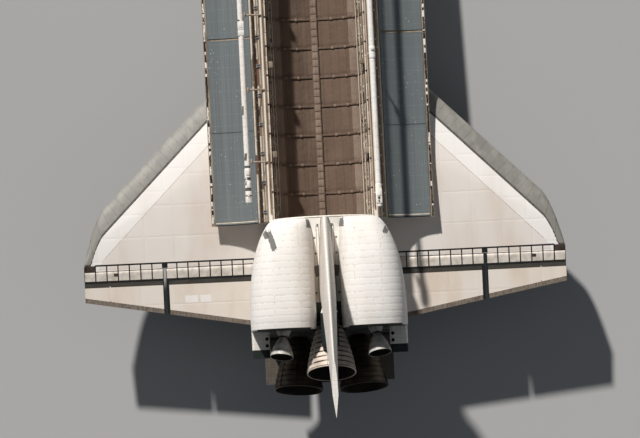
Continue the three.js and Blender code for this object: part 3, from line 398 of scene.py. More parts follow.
def radiator_tape():
    """Silvered film tape rolled on in strips: blue-grey, softly streaked along the bay, with bright specks.
    The strips are 50 mm wide, the panels' joints 577 mm apart, and specks of 2 mm are drawn 30 mm wide."""
    made, tree, shader, where = start("silvered film tape", 0.42, 0.15)
    strips = patches(tree, where, 3.2, 0.3, 0.7, (0.01, 1.6, 1.6), 4.0)
    colour = add(tree, "Mix", {0: strips, 6: "#737a7c", 7: "#7f8688"}, **COLOURS)
    clouds = patches(tree, where, 60, 0.35, 0.75, (0.4, 1, 1))
    cloud = add(tree, "Math", {0: clouds, 1: 0.4}, operation="MULTIPLY")
    colour = add(tree, "Mix", {0: cloud, 6: colour, 7: "#687278"}, **COLOURS)
    edge, _ = seams(tree, where, (22.7, 900, 900))
    drawn = add(tree, "MapRange", {0: edge, 1: 0.1, 2: 0.6, 3: 0.12, 4: 0.0})
    colour = add(tree, "Mix", {0: drawn, 6: colour, 7: "#c4cdd0"}, **COLOURS)
    spread = add(tree, "Mapping", {0: where, 3: (0.14, 0.14, 0.14)})
    dots = add(tree, "TexVoronoi", {"Vector": spread, "Scale": 1.0}, feature="F1")
    bright = add(tree, "MapRange", {0: dots, 1: 0.07, 2: 0.15, 3: 0.85, 4: 0.0})
    some = patches(tree, where, 30, 0.5, 0.6)
    speck = add(tree, "Math", {0: bright, 1: some}, operation="MULTIPLY")
    colour = add(tree, "Mix", {0: speck, 6: colour, 7: "#eef1f2"}, **COLOURS)
    gloss = add(tree, "MapRange", {0: strips, 3: 0.3, 4: 0.44})
    bump = add(tree, "Bump", {"Height": strips, "Distance": 0.05 * INCH, "Strength": 0.3})
    connect(tree, shader, {"Base Color": colour, "Roughness": gloss, "Normal": bump})
    return made


def bay_liner(name, cloth, worn_cloth, seam_colour):
    """Woven glass cloth with a coat: dull beige-brown, creased, in gores of 1438 by 381 mm between frames.
    Dark snap studs of 15 mm, 360 mm apart, are drawn 50 mm wide. The weave is too fine to draw."""
    made, tree, shader, where = start(name, 0.88)
    edge, tone = seams(tree, where, (56.6, 15, 15))
    share = add(tree, "Math", {0: tone, 1: 0.3}, operation="MULTIPLY")
    colour = add(tree, "Mix", {0: share, 6: cloth, 7: seam_colour}, **COLOURS)
    clouds = patches(tree, where, 30, 0.4, 0.75, (0.5, 1, 1), 4.0)
    worn = add(tree, "Math", {0: clouds, 1: 0.45}, operation="MULTIPLY")
    colour = add(tree, "Mix", {0: worn, 6: colour, 7: worn_cloth}, **COLOURS)
    drawn = add(tree, "MapRange", {0: edge, 1: 0.2, 2: 0.8, 3: 0.4, 4: 0.0})
    colour = add(tree, "Mix", {0: drawn, 6: colour, 7: seam_colour}, **COLOURS)
    studs = add(tree, "Mapping", {0: where, 3: (1 / 14.15, 1 / 15, 1 / 15)})
    dots = add(tree, "TexVoronoi", {"Vector": studs, "Scale": 1.0, "Randomness": 0.15}, feature="F1")
    stud = add(tree, "MapRange", {0: dots, 1: 0.05, 2: 0.09, 3: 0.7, 4: 0.0})
    colour = add(tree, "Mix", {0: stud, 6: colour, 7: "#332a22"}, **COLOURS)
    folds = patches(tree, where, 6, 0.3, 0.7)
    puffed = add(tree, "MapRange", {0: edge, 1: 0.0, 2: 3.0})
    height = add(tree, "Math", {0: puffed, 1: folds}, operation="ADD")
    bump = add(tree, "Bump", {"Height": height, "Distance": 0.5 * INCH, "Strength": 0.5})
    connect(tree, shader, {"Base Color": colour, "Normal": bump})
    return made


def carbon_shell():
    """Carbon laid up in panels 325 mm wide, with a fired coat: satin mid grey, softly clouded, each panel
    with a tone of its own. The weave of 2 mm is drawn as a 64 mm ripple."""
    made, tree, shader, where = start("coated carbon", 0.52)
    _, tone = seams(tree, where, (900, 12.8, 900))
    share = add(tree, "Math", {0: tone, 1: 0.4}, operation="MULTIPLY")
    colour = add(tree, "Mix", {0: share, 6: "#85847f", 7: "#9d9b95"}, **COLOURS)
    clouds = patches(tree, where, 24, 0.4, 0.75, detail=5.0)
    cloud = add(tree, "Math", {0: clouds, 1: 0.6}, operation="MULTIPLY")
    colour = add(tree, "Mix", {0: cloud, 6: colour, 7: "#a8a59e"}, **COLOURS)
    grain = patches(tree, where, 2.5, 0.2, 0.8)
    bump = add(tree, "Bump", {"Height": grain, "Distance": 0.05 * INCH, "Strength": 0.35})
    connect(tree, shader, {"Base Color": colour, "Normal": bump})
    return made


def bell_metal(name, colour, heat, dark, rough=0.42, metallic=0.75):
    """A bell brazed of alloy tubes: brown-grey metal, tinted by heat and sooted in patches, with a grain.
    The tubes of 5 mm are drawn as a grain of 30 mm."""
    made, tree, shader, where = start(name, rough, metallic)
    tint = patches(tree, where, 18, 0.35, 0.68, (1.6, 0.5, 0.5), 4.0)
    base = add(tree, "Mix", {0: tint, 6: colour, 7: heat}, **COLOURS)
    sooted = patches(tree, where, 30, 0.45, 0.75, detail=5.0)
    soot = add(tree, "Math", {0: sooted, 1: 0.7}, operation="MULTIPLY")
    base = add(tree, "Mix", {0: soot, 6: base, 7: dark}, **COLOURS)
    grain = patches(tree, where, 1.2, 0.2, 0.8)
    bump = add(tree, "Bump", {"Height": grain, "Distance": 0.06 * INCH, "Strength": 0.5})
    connect(tree, shader, {"Base Color": base, "Normal": bump})
    return made


def window_pane():
    """Polished panes over a dark cabin: near-black glass, the cabin's shade behind the panes painted into its
    colour, with a clean reflection, hazed in 230 mm clouds.
    """
    made, tree, shader, where = start("window glass", 0.06, 0.0, 1.52)
    haze = patches(tree, where, 9, 0.4, 0.75)
    tint = add(tree, "Mix", {0: haze, 6: "#080b0e", 7: "#141a20"}, **COLOURS)
    gloss = add(tree, "MapRange", {0: haze, 3: 0.04, 4: 0.12})
    shader.inputs["Coat Weight"].default_value = 0.6
    connect(tree, shader, {"Base Color": tint, "Roughness": gloss})
    return made


def marked(made, colour, boxes, ragged=0.12):
    """Paints patches on a finish: each box is a middle, half sizes and a turn about z, in inches."""
    tree = made.node_tree
    shader = tree.nodes["Principled BSDF"]
    base = shader.inputs["Base Color"].links[0].from_socket
    where = next(node for node in tree.nodes if node.type == "MAPPING").outputs[0]
    fray = add(tree, "TexNoise", {"Vector": where, "Scale": 0.35, "Detail": 3.0})
    loose = add(tree, "Math", {0: fray, 1: ragged, 2: -ragged / 2}, operation="MULTIPLY_ADD")
    for middle, half, turn in boxes:
        moved = add(tree, "VectorMath", {0: where, 1: middle}, operation="SUBTRACT")
        turned = add(tree, "VectorRotate", {0: moved, 3: radians(turn)}, rotation_type="Z_AXIS")
        shares = add(tree, "VectorMath", {0: turned, 1: half}, operation="DIVIDE")
        away = add(tree, "VectorMath", {0: shares}, operation="ABSOLUTE")
        far = add(tree, "SeparateXYZ", {0: away})
        for k in (1, 2):
            far = add(tree, "Math", {0: far, 1: add(tree, "SeparateXYZ", {0: away}, k)}, operation="MAXIMUM")
        far = add(tree, "Math", {0: far, 1: loose}, operation="ADD")
        inside = add(tree, "MapRange", {0: far, 1: 0.95, 2: 1.0, 3: 0.9, 4: 0.0})
        base = add(tree, "Mix", {0: inside, 6: base, 7: colour}, **COLOURS)
    connect(tree, shader, {"Base Color": base})
    return made


# Middle, half sizes and turn of the mended places, vents, clamps and ties that a finish shows
POD_PATCHES = [
    ((1318, 31, 520), (9, 5, 60), 0), ((1318, -31, 520), (9, 5, 60), 0),
    ((1334, 118, 545), (12, 5, 34), 24), ((1334, -116, 545), (12, 5, 34), -24),
    ((1350, -104, 550), (21, 5.5, 34), -16),
]
DECK_PATCHES = [((x, side * y, 500), half, side * turn) for x, y, half, turn in (
    (1410, 18, (11, 6, 20), 12), (1322, 14, (3, 2, 20), 0), (1346, 21, (2, 2, 20), 0),
    (1376, 20, (2, 2, 20), 0), (1452, 22, (2, 2, 20), 0), (1400, 12.5, (80, 0.5, 20), 0),
    (1400, 17, (80, 0.5, 20), 0),
) for side in (1, -1)]
ARM_PATCHES = [
    ((934, -142.6, 424), (5, 5, 9), 0), ((918, -147, 424), (5, 3, 9), 0),
    ((1180, -145, 424), (7, 2.5, 9), 6), ((1199, -142.6, 424), (2.4, 9, 9), 0),
    ((1222, -140, 424), (3, 4, 9), 0), ((1231, -145, 424), (4, 3, 9), 8),
    ((1243, -142.6, 424), (3, 9, 9), 0), ((700, -142.6, 424), (3, 9, 9), 0),
    ((1090, -146, 424), (9, 1.6, 9), 2),
]
FIN_STREAKS = [((1390, 0, 512), (90, 30, 5), 0)]


FINISH = {
    # Silica cloth sewn over felt in sheets of 790 by 690 mm: matte warm white pillows with thin grey seams
    "blanket": quilted("silica fabric blanket", "#f1eee7", "#ddd3c7", "#a59c90", line=0.13),
    # Coated felt glued down in sheets of 1.5 m: smooth and a little pink, its joints hardly seen
    "wing_blanket": quilted("wing felt blanket", "#eee8e3", "#e3d8ce", "#c2b5aa", (60, 58, 58), line=0.03),
    # Newer cloth in sheets of 1.1 m: the cleanest white on the wing
    "wing_white": quilted("fresh wing blanket", "#f8f6f3", "#f0ebe6", "#cfc6bc", (44, 44, 44), line=0.06),
    # Cloth sewn in bands of 330 mm round the pods: seams that come and go, and dark mended places
    "pod_blanket": marked(quilted("pod fabric blanket", "#f1efec", "#e7e1db", "#8f8177", (13, 52, 52),
                                  line=0.3, dashed=0.6), "#5d5c5a", POD_PATCHES, 1.0),
    # Felt in sheets of 760 mm on the fin: greyer than the wing and streaked near its root
    "fin_blanket": marked(quilted("fin felt blanket", "#e6e1da", "#cfc7bd", "#a99f93", (30, 30, 30),
                                  line=0.1), "#a39688", FIN_STREAKS, 0.5),
    # Cloth on the aft deck: white, with small dark vents and two fine lines on each side of the fin
    "deck_blanket": marked(quilted("aft body blanket", "#f1eee7", "#ddd3c7", "#a59c90", line=0.13),
                           "#5f5a55", DECK_PATCHES),
    # Felt in sheets of 1.6 m on the elevons: a warmer white, browned by weather
    "elevon_blanket": quilted("elevon felt blanket", "#eee6dd", "#e0d0c0", "#bfb0a2", (66, 60, 60),
                              line=0.06),
    # Black glass fired on silica tiles: satin black squares, no two alike, with grey joints
    "black_tile": tiled("black glazed tile", "#1d1e21", "#34363b", "#55575b"),
    # The same tiles laid at 45 degrees, as on the belly
    "belly_tile": tiled("black belly tile", "#1a1b1e", "#303237", "#4d4f54", spin=radians(45)),
    # White glass fired on tiles of 203 mm: crisper and smoother than the cloth beside it
    "white_tile": tiled("white silica tile", "#f3f0ea", "#e2dcd2", "#a79f94", 8.0, rough=0.62, line=0.4),
    # Black tiles round the engines: greenish and dull
    "base_tile": tiled("base heat shield tile", "#16211f", "#21302c", "#0c0f0e", rough=0.7),
    # Tiles under the exhaust: browned and matte, with dark joints
    "flap_tile": tiled("brown-grey flap tile", "#5b554d", "#766e63", "#2c2824", rough=0.7),
    "carbon": carbon_shell(),
    # The cloth at the keel, darkened to brown: painted shade, for the bay's floor that lies in shade
    "liner": bay_liner("liner cloth painted in shade", "#6e5b4e", "#7e6b5c", "#43352b"),
    # The same cloth under the sills, painted lighter: the side walls as lit, where the light reaches them
    "wall_liner": bay_liner("liner cloth painted as lit", "#8d7b6d", "#a39485", "#5f5045"),
    "radiator": radiator_tape(),
    "glass": window_pane(),
    # The main bells outside: dark brown, with a dull gleam where the light grazes the tubes
    "bell": bell_metal("heat tinted nozzle alloy", "#3b342e", "#51473d", "#171513"),
    # The bells inside: darker than outside, and matte
    "bell_inside": bell_metal("dark nozzle bore", "#2c2825", "#3c342e", "#100e0c", 0.6),
    # Bands welded round the upper bell, bleached to a matte cream
    "hat_band": bell_metal("nozzle stiffening band", "#cbbdb0", "#dfd3c8", "#8a7d70", 0.6, 0.2),
    # The same bands on the lower bells, their cream painted dark brown: painted shade, for the shadow of the
    # pods and body over the lower bells
    "shaded_band": bell_metal("stiffening band painted in shade", "#4d453c", "#64594d", "#1f1b18", 0.5),
    # Silicide fired on niobium: a dry light grey with 20 mm speckles
    "pod_bell": mottled("silicide coated niobium", "#c9c7c4", "#9a9895", 9, 0.6, 0.1, grain=0.8),
    # Ceramic cloth sewn in patches of 230 mm: dark, thick collars round the engines
    "heat_quilt": quilted("heat shield quilt", "#4c4a47", "#2f2d2b", "#1b1a19", (9, 9, 9), 0.8, 0.3),
    # Cloth sleeves of 430 mm laced on the arm: white and creased, with dark ties and clamps
    "wrap": marked(quilted("arm thermal wrap", "#f6f3ef", "#e8e0d8", "#9a8c7c", (17, 11, 11), 0.78, 0.3, 0.3,
                           dashed=0.45), "#3c3935", ARM_PATCHES, 0.5),
    # Sleeves of 610 mm on the boom: whiter and smoother
    "boom_wrap": quilted("boom thermal wrap", "#faf8f4", "#e9e2d9", "#8d8072", (24, 12, 12), 0.75, 0.3, 0.35,
                         dashed=0.6),
    # Metal-backed tape: tan, drawn out along the sills, with a slight gleam
    "tan_trim": mottled("tan film trim", "#a38d75", "#846a54", 8, 0.5, 0.1, (0.2, 1, 1)),
    # Sealant spread by brush: dull red-brown streaks
    "red_trim": mottled("red-brown sealant", "#80604f", "#634537", 10, 0.65, 0.0, (0.2, 1, 1)),
    # Woven strip: matte cream with a nap
    "cream_trim": mottled("cream seal strip", "#e3d9ca", "#c8b8a3", 9, 0.7, 0.0, (0.3, 1, 1), 0.6),
    # Milled and left bare: pale metal, half matte
    "alloy": mottled("machined aluminium", "#c9cbcc", "#b1b4b6", 14, 0.42, 0.6),
    # Enamel sprayed on steel: light grey with a soft gloss
    "steel": mottled("grey gear enamel", "#d7dadb", "#b7babb", 9, 0.42),
    # Ground and plated: bright rods that mirror what is near
    "chrome": mottled("polished piston chrome", "#e6e8ea", "#cfd2d5", 4, 0.1, 1.0),
    # Anodised black: holes, seals and small fittings that sink back
    "dark": mottled("dark fitting", "#1b1b1c", "#0f1011", 5, 0.6, 0.1),
    # Baked sealant: dark brown and dry
    "brown": mottled("brown tip seal", "#4c3f37", "#2f2722", 4, 0.7),
    # Moulded rubber: near black and matte, greyer where it is dusty
    "tyre": mottled("tyre rubber", "#1c1c1d", "#2b2a29", 5, 0.82),
    # Enamel sprayed on sheet: a quiet grey behind the panes
    "cabin": mottled("cabin panel enamel", "#8e9496", "#6d7376", 6, 0.6),
    # Coated cloth over the cable trays: tan, streaked lengthwise, with a 20 mm nap
    "tray": mottled("cable tray cloth", "#b3a495", "#938372", 7, 0.75, 0.0, (0.3, 1, 1), 0.8),
    # Silicone paint sprayed on: a soft white on rings, packs and joints
    "white_paint": mottled("white thermal paint", "#f6f4ef", "#e3ddd4", 9, 0.55),
    # Painted tube: the hand rails' faded yellow
    "rail_yellow": mottled("yellow rail paint", "#c9a44a", "#a88534", 6, 0.5),
    # Tile edges behind the carbon panels: dark and light ticks 66 mm apart
    "spacer": mottled("ticked tile spacer", "#6c6964", "#34312e", 2.6, 0.7, grain=0.8),
    # Filler pressed into a joint and faded: a line hardly darker than the cloth
    "thin_seam": mottled("faded seam filler", "#c9c2ba", "#b2aaa1", 8, 0.8),
    # Coated felt that the hinge panels rub on: worn charcoal grey
    "rub_strip": mottled("grey rub strip", "#45413c", "#37342f", 12, 0.7, 0.0, (1, 0.4, 1), 0.6),
    # Tile ends at the elevons' trailing edge: brown-grey with close hatching across
    "trail_edge": mottled("hatched trailing edge", "#8b7f73", "#5d5349", 2.2, 0.75, 0.0, (0.2, 1.2, 1), 0.6),
    # Bare sheet bleached by heat: cream panels over the hinge
    "flipper": mottled("alloy seal panel", "#e6dfd7", "#c9bfb3", 14, 0.5, 0.1),
    # Primed carbon sheet inside the doors: tan, streaked lengthwise
    "door_inner": mottled("door inner skin", "#a49887", "#7a6a59", 12, 0.6, 0.1, (0.2, 1, 1)),
}


# Fuselage

# Station, half width, widest height, top, bottom, and how square the upper and lower halves are
NOSE_ROWS = [
    (236.5, 5, 332, 337, 327, 2, 2), (238.5, 14, 332, 346, 318, 2, 2), (243, 23, 332, 356, 308.5, 2, 2),
    (250, 31.5, 333, 364.5, 301.5, 2, 2.1), (262, 42, 334, 374.5, 294.5, 2, 2.2),
    (282, 54.5, 336, 386, 289.5, 2, 2.5), (310, 67, 339, 398.5, 286.5, 2.05, 2.9),
    (345, 79, 344, 411, 284, 2.1, 3.5), (385, 88.5, 350, 423.5, 282, 2.15, 4.2),
    (425, 94, 358, 436.5, 280.4, 2.2, 5), (447, 96, 366, 461, 279.8, 2.2, 5.5),
    (468, 98, 375, 481, 279.2, 2.2, 6), (490, 99.5, 384, 493, 278.7, 2.2, 6.5),
    (520, 101.5, 396, 499, 278, 2.2, 7), (550, 103.5, 405, 500.5, 277.2, 2.2, 7.5),
    (582, 105, 412, 500, 276.5, 2.2, 8),
]
CAP_ROWS = NOSE_ROWS[:5]
CABIN_ROWS = NOSE_ROWS[4:]
AFT_ROWS = [
    (1307.3, 105, 412, 500, 267.5, 2.2, 8), (1400, 107, 405, 501, 268, 2.3, 8),
    (1470, 108, 385, 502, 270, 2.4, 8), (1508, 109, 350, 490, 273, 2.5, 8),
    (1524, 125, 325, 440, 275.5, 2.6, 8),
]
# Station, distance out, height, width, height of the pane, and its azimuth and elevation
WINDOWS = [
    (446, 17, 459, 27, 30, 0, 48), (455, 49, 452, 30, 30, 32, 42), (478, 78, 449, 30, 25, 66, 30),
    (533, 24, 499, 20, 20, 0, 88), (579, 22, 462, 15, 12, 180, 0),
]
HATCH = Vector((505, 0, 372))
NOSE_WELL = ((292, -21, 270), (392, 21, 330))


def evenly(points, count):
    """A closed line's points again, count of them at equal steps along it."""
    points = [Vector(p) for p in points]
    ends = points[1:] + points[:1]
    lengths = [(b - a).length for a, b in zip(points, ends)]
    pace = sum(lengths) / count
    made, walked, i = [], 0.0, 0
    for k in range(count):
        while walked + lengths[i] < k * pace - 1e-6:
            walked += lengths[i]
            i += 1
        made.append(points[i].lerp(ends[i], (k * pace - walked) / max(lengths[i], 1e-9)))
    return made


def body_ring(row, count, grow=0.0):
    """A fuselage section's outline from the top centre round by starboard."""
    x, half, waist, top, bottom, up, low = row
    ring = []
    for k in range(1440):
        c, s = sin(tau * k / 1440), cos(tau * k / 1440)
        power = 2 / (up if s >= 0 else low)
        rise = (top - waist if s >= 0 else waist - bottom) + grow
        y = (half + grow) * copysign(abs(c) ** power, c)
        ring.append((x, y, waist + rise * copysign(abs(s) ** power, s)))
    return evenly(ring, count)


def belly_line(x):
    """The height where the black belly tiles end on the fuselage's side."""
    if x > 640:
        return 294
    t = max(0.0, min(1.0, (x - 270) / 370))
    return mix(352, 294, t ** 0.6)


def window_box(window, side, deep, grow=0.0):
    """Half the sizes of a box round a pane, deep through the skin, and the matrix that places it."""
    x, y, z, wide, high, azimuth, elevation = window
    turn = Matrix.Rotation(radians(-azimuth * side), 4, "Z")
    tip = Matrix.Rotation(radians(elevation), 4, "Y")
    place = Matrix.Translation((x, side * y, z)) @ (turn @ tip)
    half = Vector((deep / 2, wide / 2 + grow, high / 2 + grow))
    return half, place


def nose_cap():
    bm = bmesh.new()
    rows = smooth(CAP_ROWS, 6)
    pole = [(235.9, 0.4, 332, 332.4, 331.6, 2, 2)]
    loft(bm, [body_ring(row, 96) for row in pole + rows])
    piece("nose_cap_shell", bm, ["carbon"], ["nose_cap"], sharp=50)
    seal = bmesh.new()
    lips = ((-0.6, 0.05), (0.6, 0.45))
    rings = [body_ring((CAP_END_X + dx, *CAP_ROWS[-1][1:]), 96, grow) for dx, grow in lips]
    loft(seal, rings, capped=False)
    piece("nose_cap_seal", seal, ["dark"])


def cabin_paint(middle, normal, index):
    """Black belly, white tiles on the nose, blankets behind."""
    if index:
        return None
    x, y, z = middle
    if z < belly_line(x) or normal.z < -0.55:
        return 1
    if x < 420 + 20 * sin(z / 30) or normal.x < -0.5:
        return 2
    return 0


def thruster(bm, base, way, radius):
    """A thruster's dark scarfed cup, to be carved out of the skin."""
    way = Vector(way).normalized()
    base = Vector(base)
    bar(bm, base - way * 7, base + way * 8, radius * 0.45, radius, 24)


def forward_fuselage():
    bm = bmesh.new()
    loft(bm, [body_ring(row, 200) for row in smooth(CABIN_ROWS, 8)])
    room = bmesh.new()
    cavity = [row for row in smooth(CABIN_ROWS, 2) if 425 <= row[0] <= 577]
    loft(room, [body_ring((min(row[0], 576), *row[1:]), 64, -3) for row in cavity])
    carve(room, block(bmesh.new(), (426, -95, 402), (576, 95, 520)), "INTERSECT")
    for face in room.faces:
        face.material_index = 3
    carve(bm, room)
    for window in WINDOWS:
        for side in (-1, 1):
            half, place = window_box(window, side, 26)
            carve(bm, block(bmesh.new(), -half, half, 2.2, place, index=3))
    carve(bm, block(bmesh.new(), *NOSE_WELL, index=3))
    cut_in(bm, bar(bmesh.new(), HATCH + Vector((0, -120, 0)), HATCH + Vector((0, -96, 0)), 20.25, sides=72))
    cups = bmesh.new()
    for side in (-1, 1):
        for x, y, z in ((318, 16, 398), (330, 16, 401.5), (342, 16, 405)):
            thruster(cups, (x, side * y, z), (-0.1, side * 0.1, 1), 5)
        for x, z in ((322, 368), (338, 370)):
            thruster(cups, (x, side * hull_half(x, z), z), (0, side, 0.25), 5)
    for x, y, z in ((283, 0, 384), (283, -14, 382), (283, 14, 382)):
        thruster(cups, (x, y, z), (-0.6, 0, 1), 4.4)
    cut_in(bm, cups)
    paint(bm, cabin_paint)
    skins = ["blanket", "black_tile", "white_tile", "dark"]
    piece("forward_skin", bm, skins, ["forward_fuselage"], sharp=35)
    window_surround()


def window_surround():
    """The black tiles round the front, side and roof panes, one plate that lies on the skin."""
    plate = loft(bmesh.new(), [body_ring(row, 160, 0.12) for row in smooth(CABIN_ROWS, 6)])
    carve(plate, loft(bmesh.new(), [body_ring(row, 160, -1.6) for row in smooth(CABIN_ROWS, 6)]))
    zone = bmesh.new()
    boxes = [(window, side) for window in WINDOWS[:4] for side in (-1, 1)]
    for window, side in boxes:
        half, place = window_box(window, side, 26, 6.5)
        more = block(bmesh.new(), -half, half, 0, place)
        if zone.faces:
            carve(zone, more, "UNION")
        else:
            zone = more
    carve(plate, zone, "INTERSECT")
    for window, side in boxes:
        half, place = window_box(window, side, 26, 0.3)
        carve(plate, block(bmesh.new(), -half, half, 2.2, place))
    piece("window_surround", plate, ["black_tile"], sharp=35)


def nose_row(x, per_row=8):
    """The nose's section nearest to a station."""
    return min(smooth(NOSE_ROWS, per_row), key=lambda row: abs(row[0] - x))


def hull_half(x, z):
    """The nose's half width at a station and height, above or below the waist."""
    _, half, waist, top, bottom, up, low = nose_row(x)
    power, reach = (up, top - waist) if z > waist else (low, waist - bottom)
    return half * (1 - min(0.999, abs(z - waist) / reach) ** power) ** (1 / power)


def cut_in(bm, tool, index=3):
    """Carves a tool out of a bmesh, and gives the faces that it leaves a material index."""
    for face in tool.faces:
        face.material_index = index
    carve(bm, tool)


def trough_bottom(x):
    """The belly's height under the bay."""
    return mix(276.5, 267.5, (x - BAY_FRONT_X) / (BAY_AFT_X - BAY_FRONT_X))


def trough_ring(x):
    """The bay's section: outer skin down to port, along the belly, up to starboard, then the round inside."""
    low = trough_bottom(x)
    side_heights = [mix(SILL_Z, low + 14, t) for t in steps(22)]
    corner = [(BODY_HALF - 14 + 14 * cos(a), low + 14 - 14 * sin(a))
              for a in [radians(90 * t) for t in steps(6)[1:]]]
    belly = [(mix(BODY_HALF - 14, -(BODY_HALF - 14), t), low) for t in steps(34)[1:-1]]
    right = [(BODY_HALF, z) for z in side_heights] + corner
    left = [(-y, z) for y, z in reversed(right)]
    turns = [pi * t for t in steps(64)]
    inside = [(-BAY_RADIUS * cos(a), BAY_AXIS_Z - BAY_RADIUS * sin(a)) for a in turns]
    lips = [(-BAY_RADIUS, SILL_Z - 1.5), (-BAY_RADIUS - 1.5, SILL_Z)]
    ring = right + belly + left + lips[::-1] + inside + [(-y, z) for y, z in lips]
    return [(x, y, z) for y, z in ring]


def trough_paint(middle, normal, index):
    x, y, z = middle
    if hypot(y, z - BAY_AXIS_Z) < BAY_RADIUS + 1 and abs(y) < BAY_RADIUS + 0.5:
        return 2
    return 1 if z < belly_line(x) else 0


def mid_fuselage():
    bm = bmesh.new()
    loft(bm, [trough_ring(mix(BAY_FRONT_X + 0.3, BAY_AFT_X - 0.3, t)) for t in steps(58)])
    paint(bm, trough_paint)
    skins = ["blanket", "belly_tile", "liner"]
    piece("mid_skin", bm, skins, ["mid_fuselage"], sharp=30)


FRAME_PITCH = 56.6
RIB_STATIONS = [628 + FRAME_PITCH * i for i in range(12)]


def arc_point(x, radius, angle):
    """A point on the bay's round wall, with angle 0 at the keel and 90 degrees at the starboard sill."""
    return Vector((x, radius * sin(angle), BAY_AXIS_Z - radius * cos(angle)))


def bay_lining():
    """Quilts of liner cloth between the frames, each puffed up and sagging a little."""
    bm = bmesh.new()
    edges = [BAY_FRONT_X + 1] + [x for rib in RIB_STATIONS for x in (rib - 2.4, rib + 2.4)] + [BAY_AFT_X - 1]
    for start_x, end_x in zip(edges[::2], edges[1::2]):
        rings = []
        for u in steps(16):
            ring = []
            for v in steps(96):
                angle = radians(mix(-84, 84, v))
                rows = abs(sin(pi * v * 12)) ** 0.4 * min(1, sin(pi * u) * 3)
                folds = noise.noise(Vector((mix(start_x, end_x, u) / 9, v * 22, 3)))
                depth = 0.35 + 0.8 * rows + 0.5 * folds * rows
                ring.append(arc_point(mix(start_x, end_x, u), BAY_RADIUS - depth, angle))
            rings.append(ring)
        loft(bm, rings, closed=False, capped=False)
    # The lining within 67 in of the middle takes the cloth painted in shade, the walls beyond it the cloth
    # painted as lit
    paint(bm, lambda middle, normal, index: int(abs(middle.y) > 67))
    piece("bay_lining", bm, ["liner", "wall_liner"], sharp=60)


def bay_frames():
    """The frames' inner caps, with light bolt pads."""
    bm = bmesh.new()
    for rib in RIB_STATIONS:
        rings = []
        for v in steps(72):
            angle = radians(mix(-83.6, 83.6, v))
            corners = ((-2, 93.6), (-2, 91.4), (-1.4, 91.0), (1.4, 91.0), (2, 91.4), (2, 93.6))
            rings.append([arc_point(rib + dx, radius, angle) for dx, radius in corners])
        loft(bm, rings)
    piece("bay_frames", bm, ["liner"], sharp=40)
    pads = bmesh.new()
    for rib in RIB_STATIONS:
        for degrees in (-72, -58, -40, -22, 22, 40, 58, 72):
            angle = radians(degrees)
            place = Matrix.Translation(arc_point(rib, 90.8, angle)) @ Matrix.Rotation(angle, 4, "X")
            block(pads, (-2.4, -2.6, -0.3), (2.4, 2.6, 0.35), 0.15, place)
            bar(pads, place @ Vector(), place @ Vector((0, 0, 1.0)), 0.8, sides=10)
    piece("frame_pads", pads, ["wall_liner"])


def side_trays():
    """Cable trays and black boxes on the bay's side walls, under the sills."""
    trays, boxes, wires = meshes(3)
    stations = [BAY_FRONT_X + 4] + RIB_STATIONS + [BAY_AFT_X - 4]
    for side in (-1, 1):
        for degrees, wide in ((79.5, 7.0), (69.5, 5.5)):
            angle = radians(side * degrees)
            for start_x, end_x in zip(stations, stations[1:]):
                place = Matrix.Translation(arc_point(0, 92.6, angle)) @ Matrix.Rotation(angle, 4, "X")
                block(trays, (start_x + 3, -wide, -0.6), (end_x - 3, wide, 0.9), 0.3, place)
                for _ in range(7):
                    x = draw.uniform(start_x + 6, end_x - 9)
                    y = draw.uniform(-wide + 1, wide - 3)
                    index = draw.choice((0, 0, 1, 2))
                    far = (x + draw.uniform(1.5, 7), y + draw.uniform(1.2, 3), draw.uniform(1.2, 2.6))
                    block(boxes, (x, y, 0.8), far, 0.15, place, index)
        for degrees, radius in ((75.0, 0.55), (74.0, 0.4), (65.0, 0.5), (64.0, 0.35)):
            angle = radians(side * degrees)
            line = []
            for k in range(120):
                x = mix(BAY_FRONT_X + 5, BAY_AFT_X - 5, k / 119)
                sway = noise.noise(Vector((x / 26, degrees, side)))
                line.append(arc_point(x, 90.2 - 0.4 * sway, angle + 0.006 * sway))
            tube(wires, line, radius, 6)
    piece("side_trays", trays, ["tray"])
    piece("tray_boxes", boxes, ["cream_trim", "dark", "alloy"])
    piece("tray_wires", wires, ["cream_trim"])


def keel_bridge():
    bm = bmesh.new()
    block(bm, (BAY_FRONT_X + 2, -7, 303), (BAY_AFT_X - 2, 7, 311), 0.8)
    piece("keel_bridge", bm, ["liner"])
    plates = bmesh.new()
    for i in range(48):
        x = 596 + 14.6 * i
        block(plates, (x, -5.4, 310.8), (x + 12.4, 5.4, 311.6), 0.2)
        for y in (-4.2, 4.2):
            bar(plates, (x + 2, y, 311.4), (x + 2, y, 312.1), 0.7, sides=8)
    piece("keel_plates", plates, ["wall_liner"])


def payload_latches():
    bm = bmesh.new()
    for side in (-1, 1):
        for x in (700, 838, 1002, 1176):
            low, high = sorted((side * 84, side * 95))
            block(bm, (x - 6, low, 396), (x + 6, high, 408), 0.6)
            for dx in (-4, 4):
                bar(bm, (x + dx, side * 87, 395), (x + dx, side * 87, 408.2), 0.9, sides=10)
    piece("payload_latches", bm, ["door_inner"])


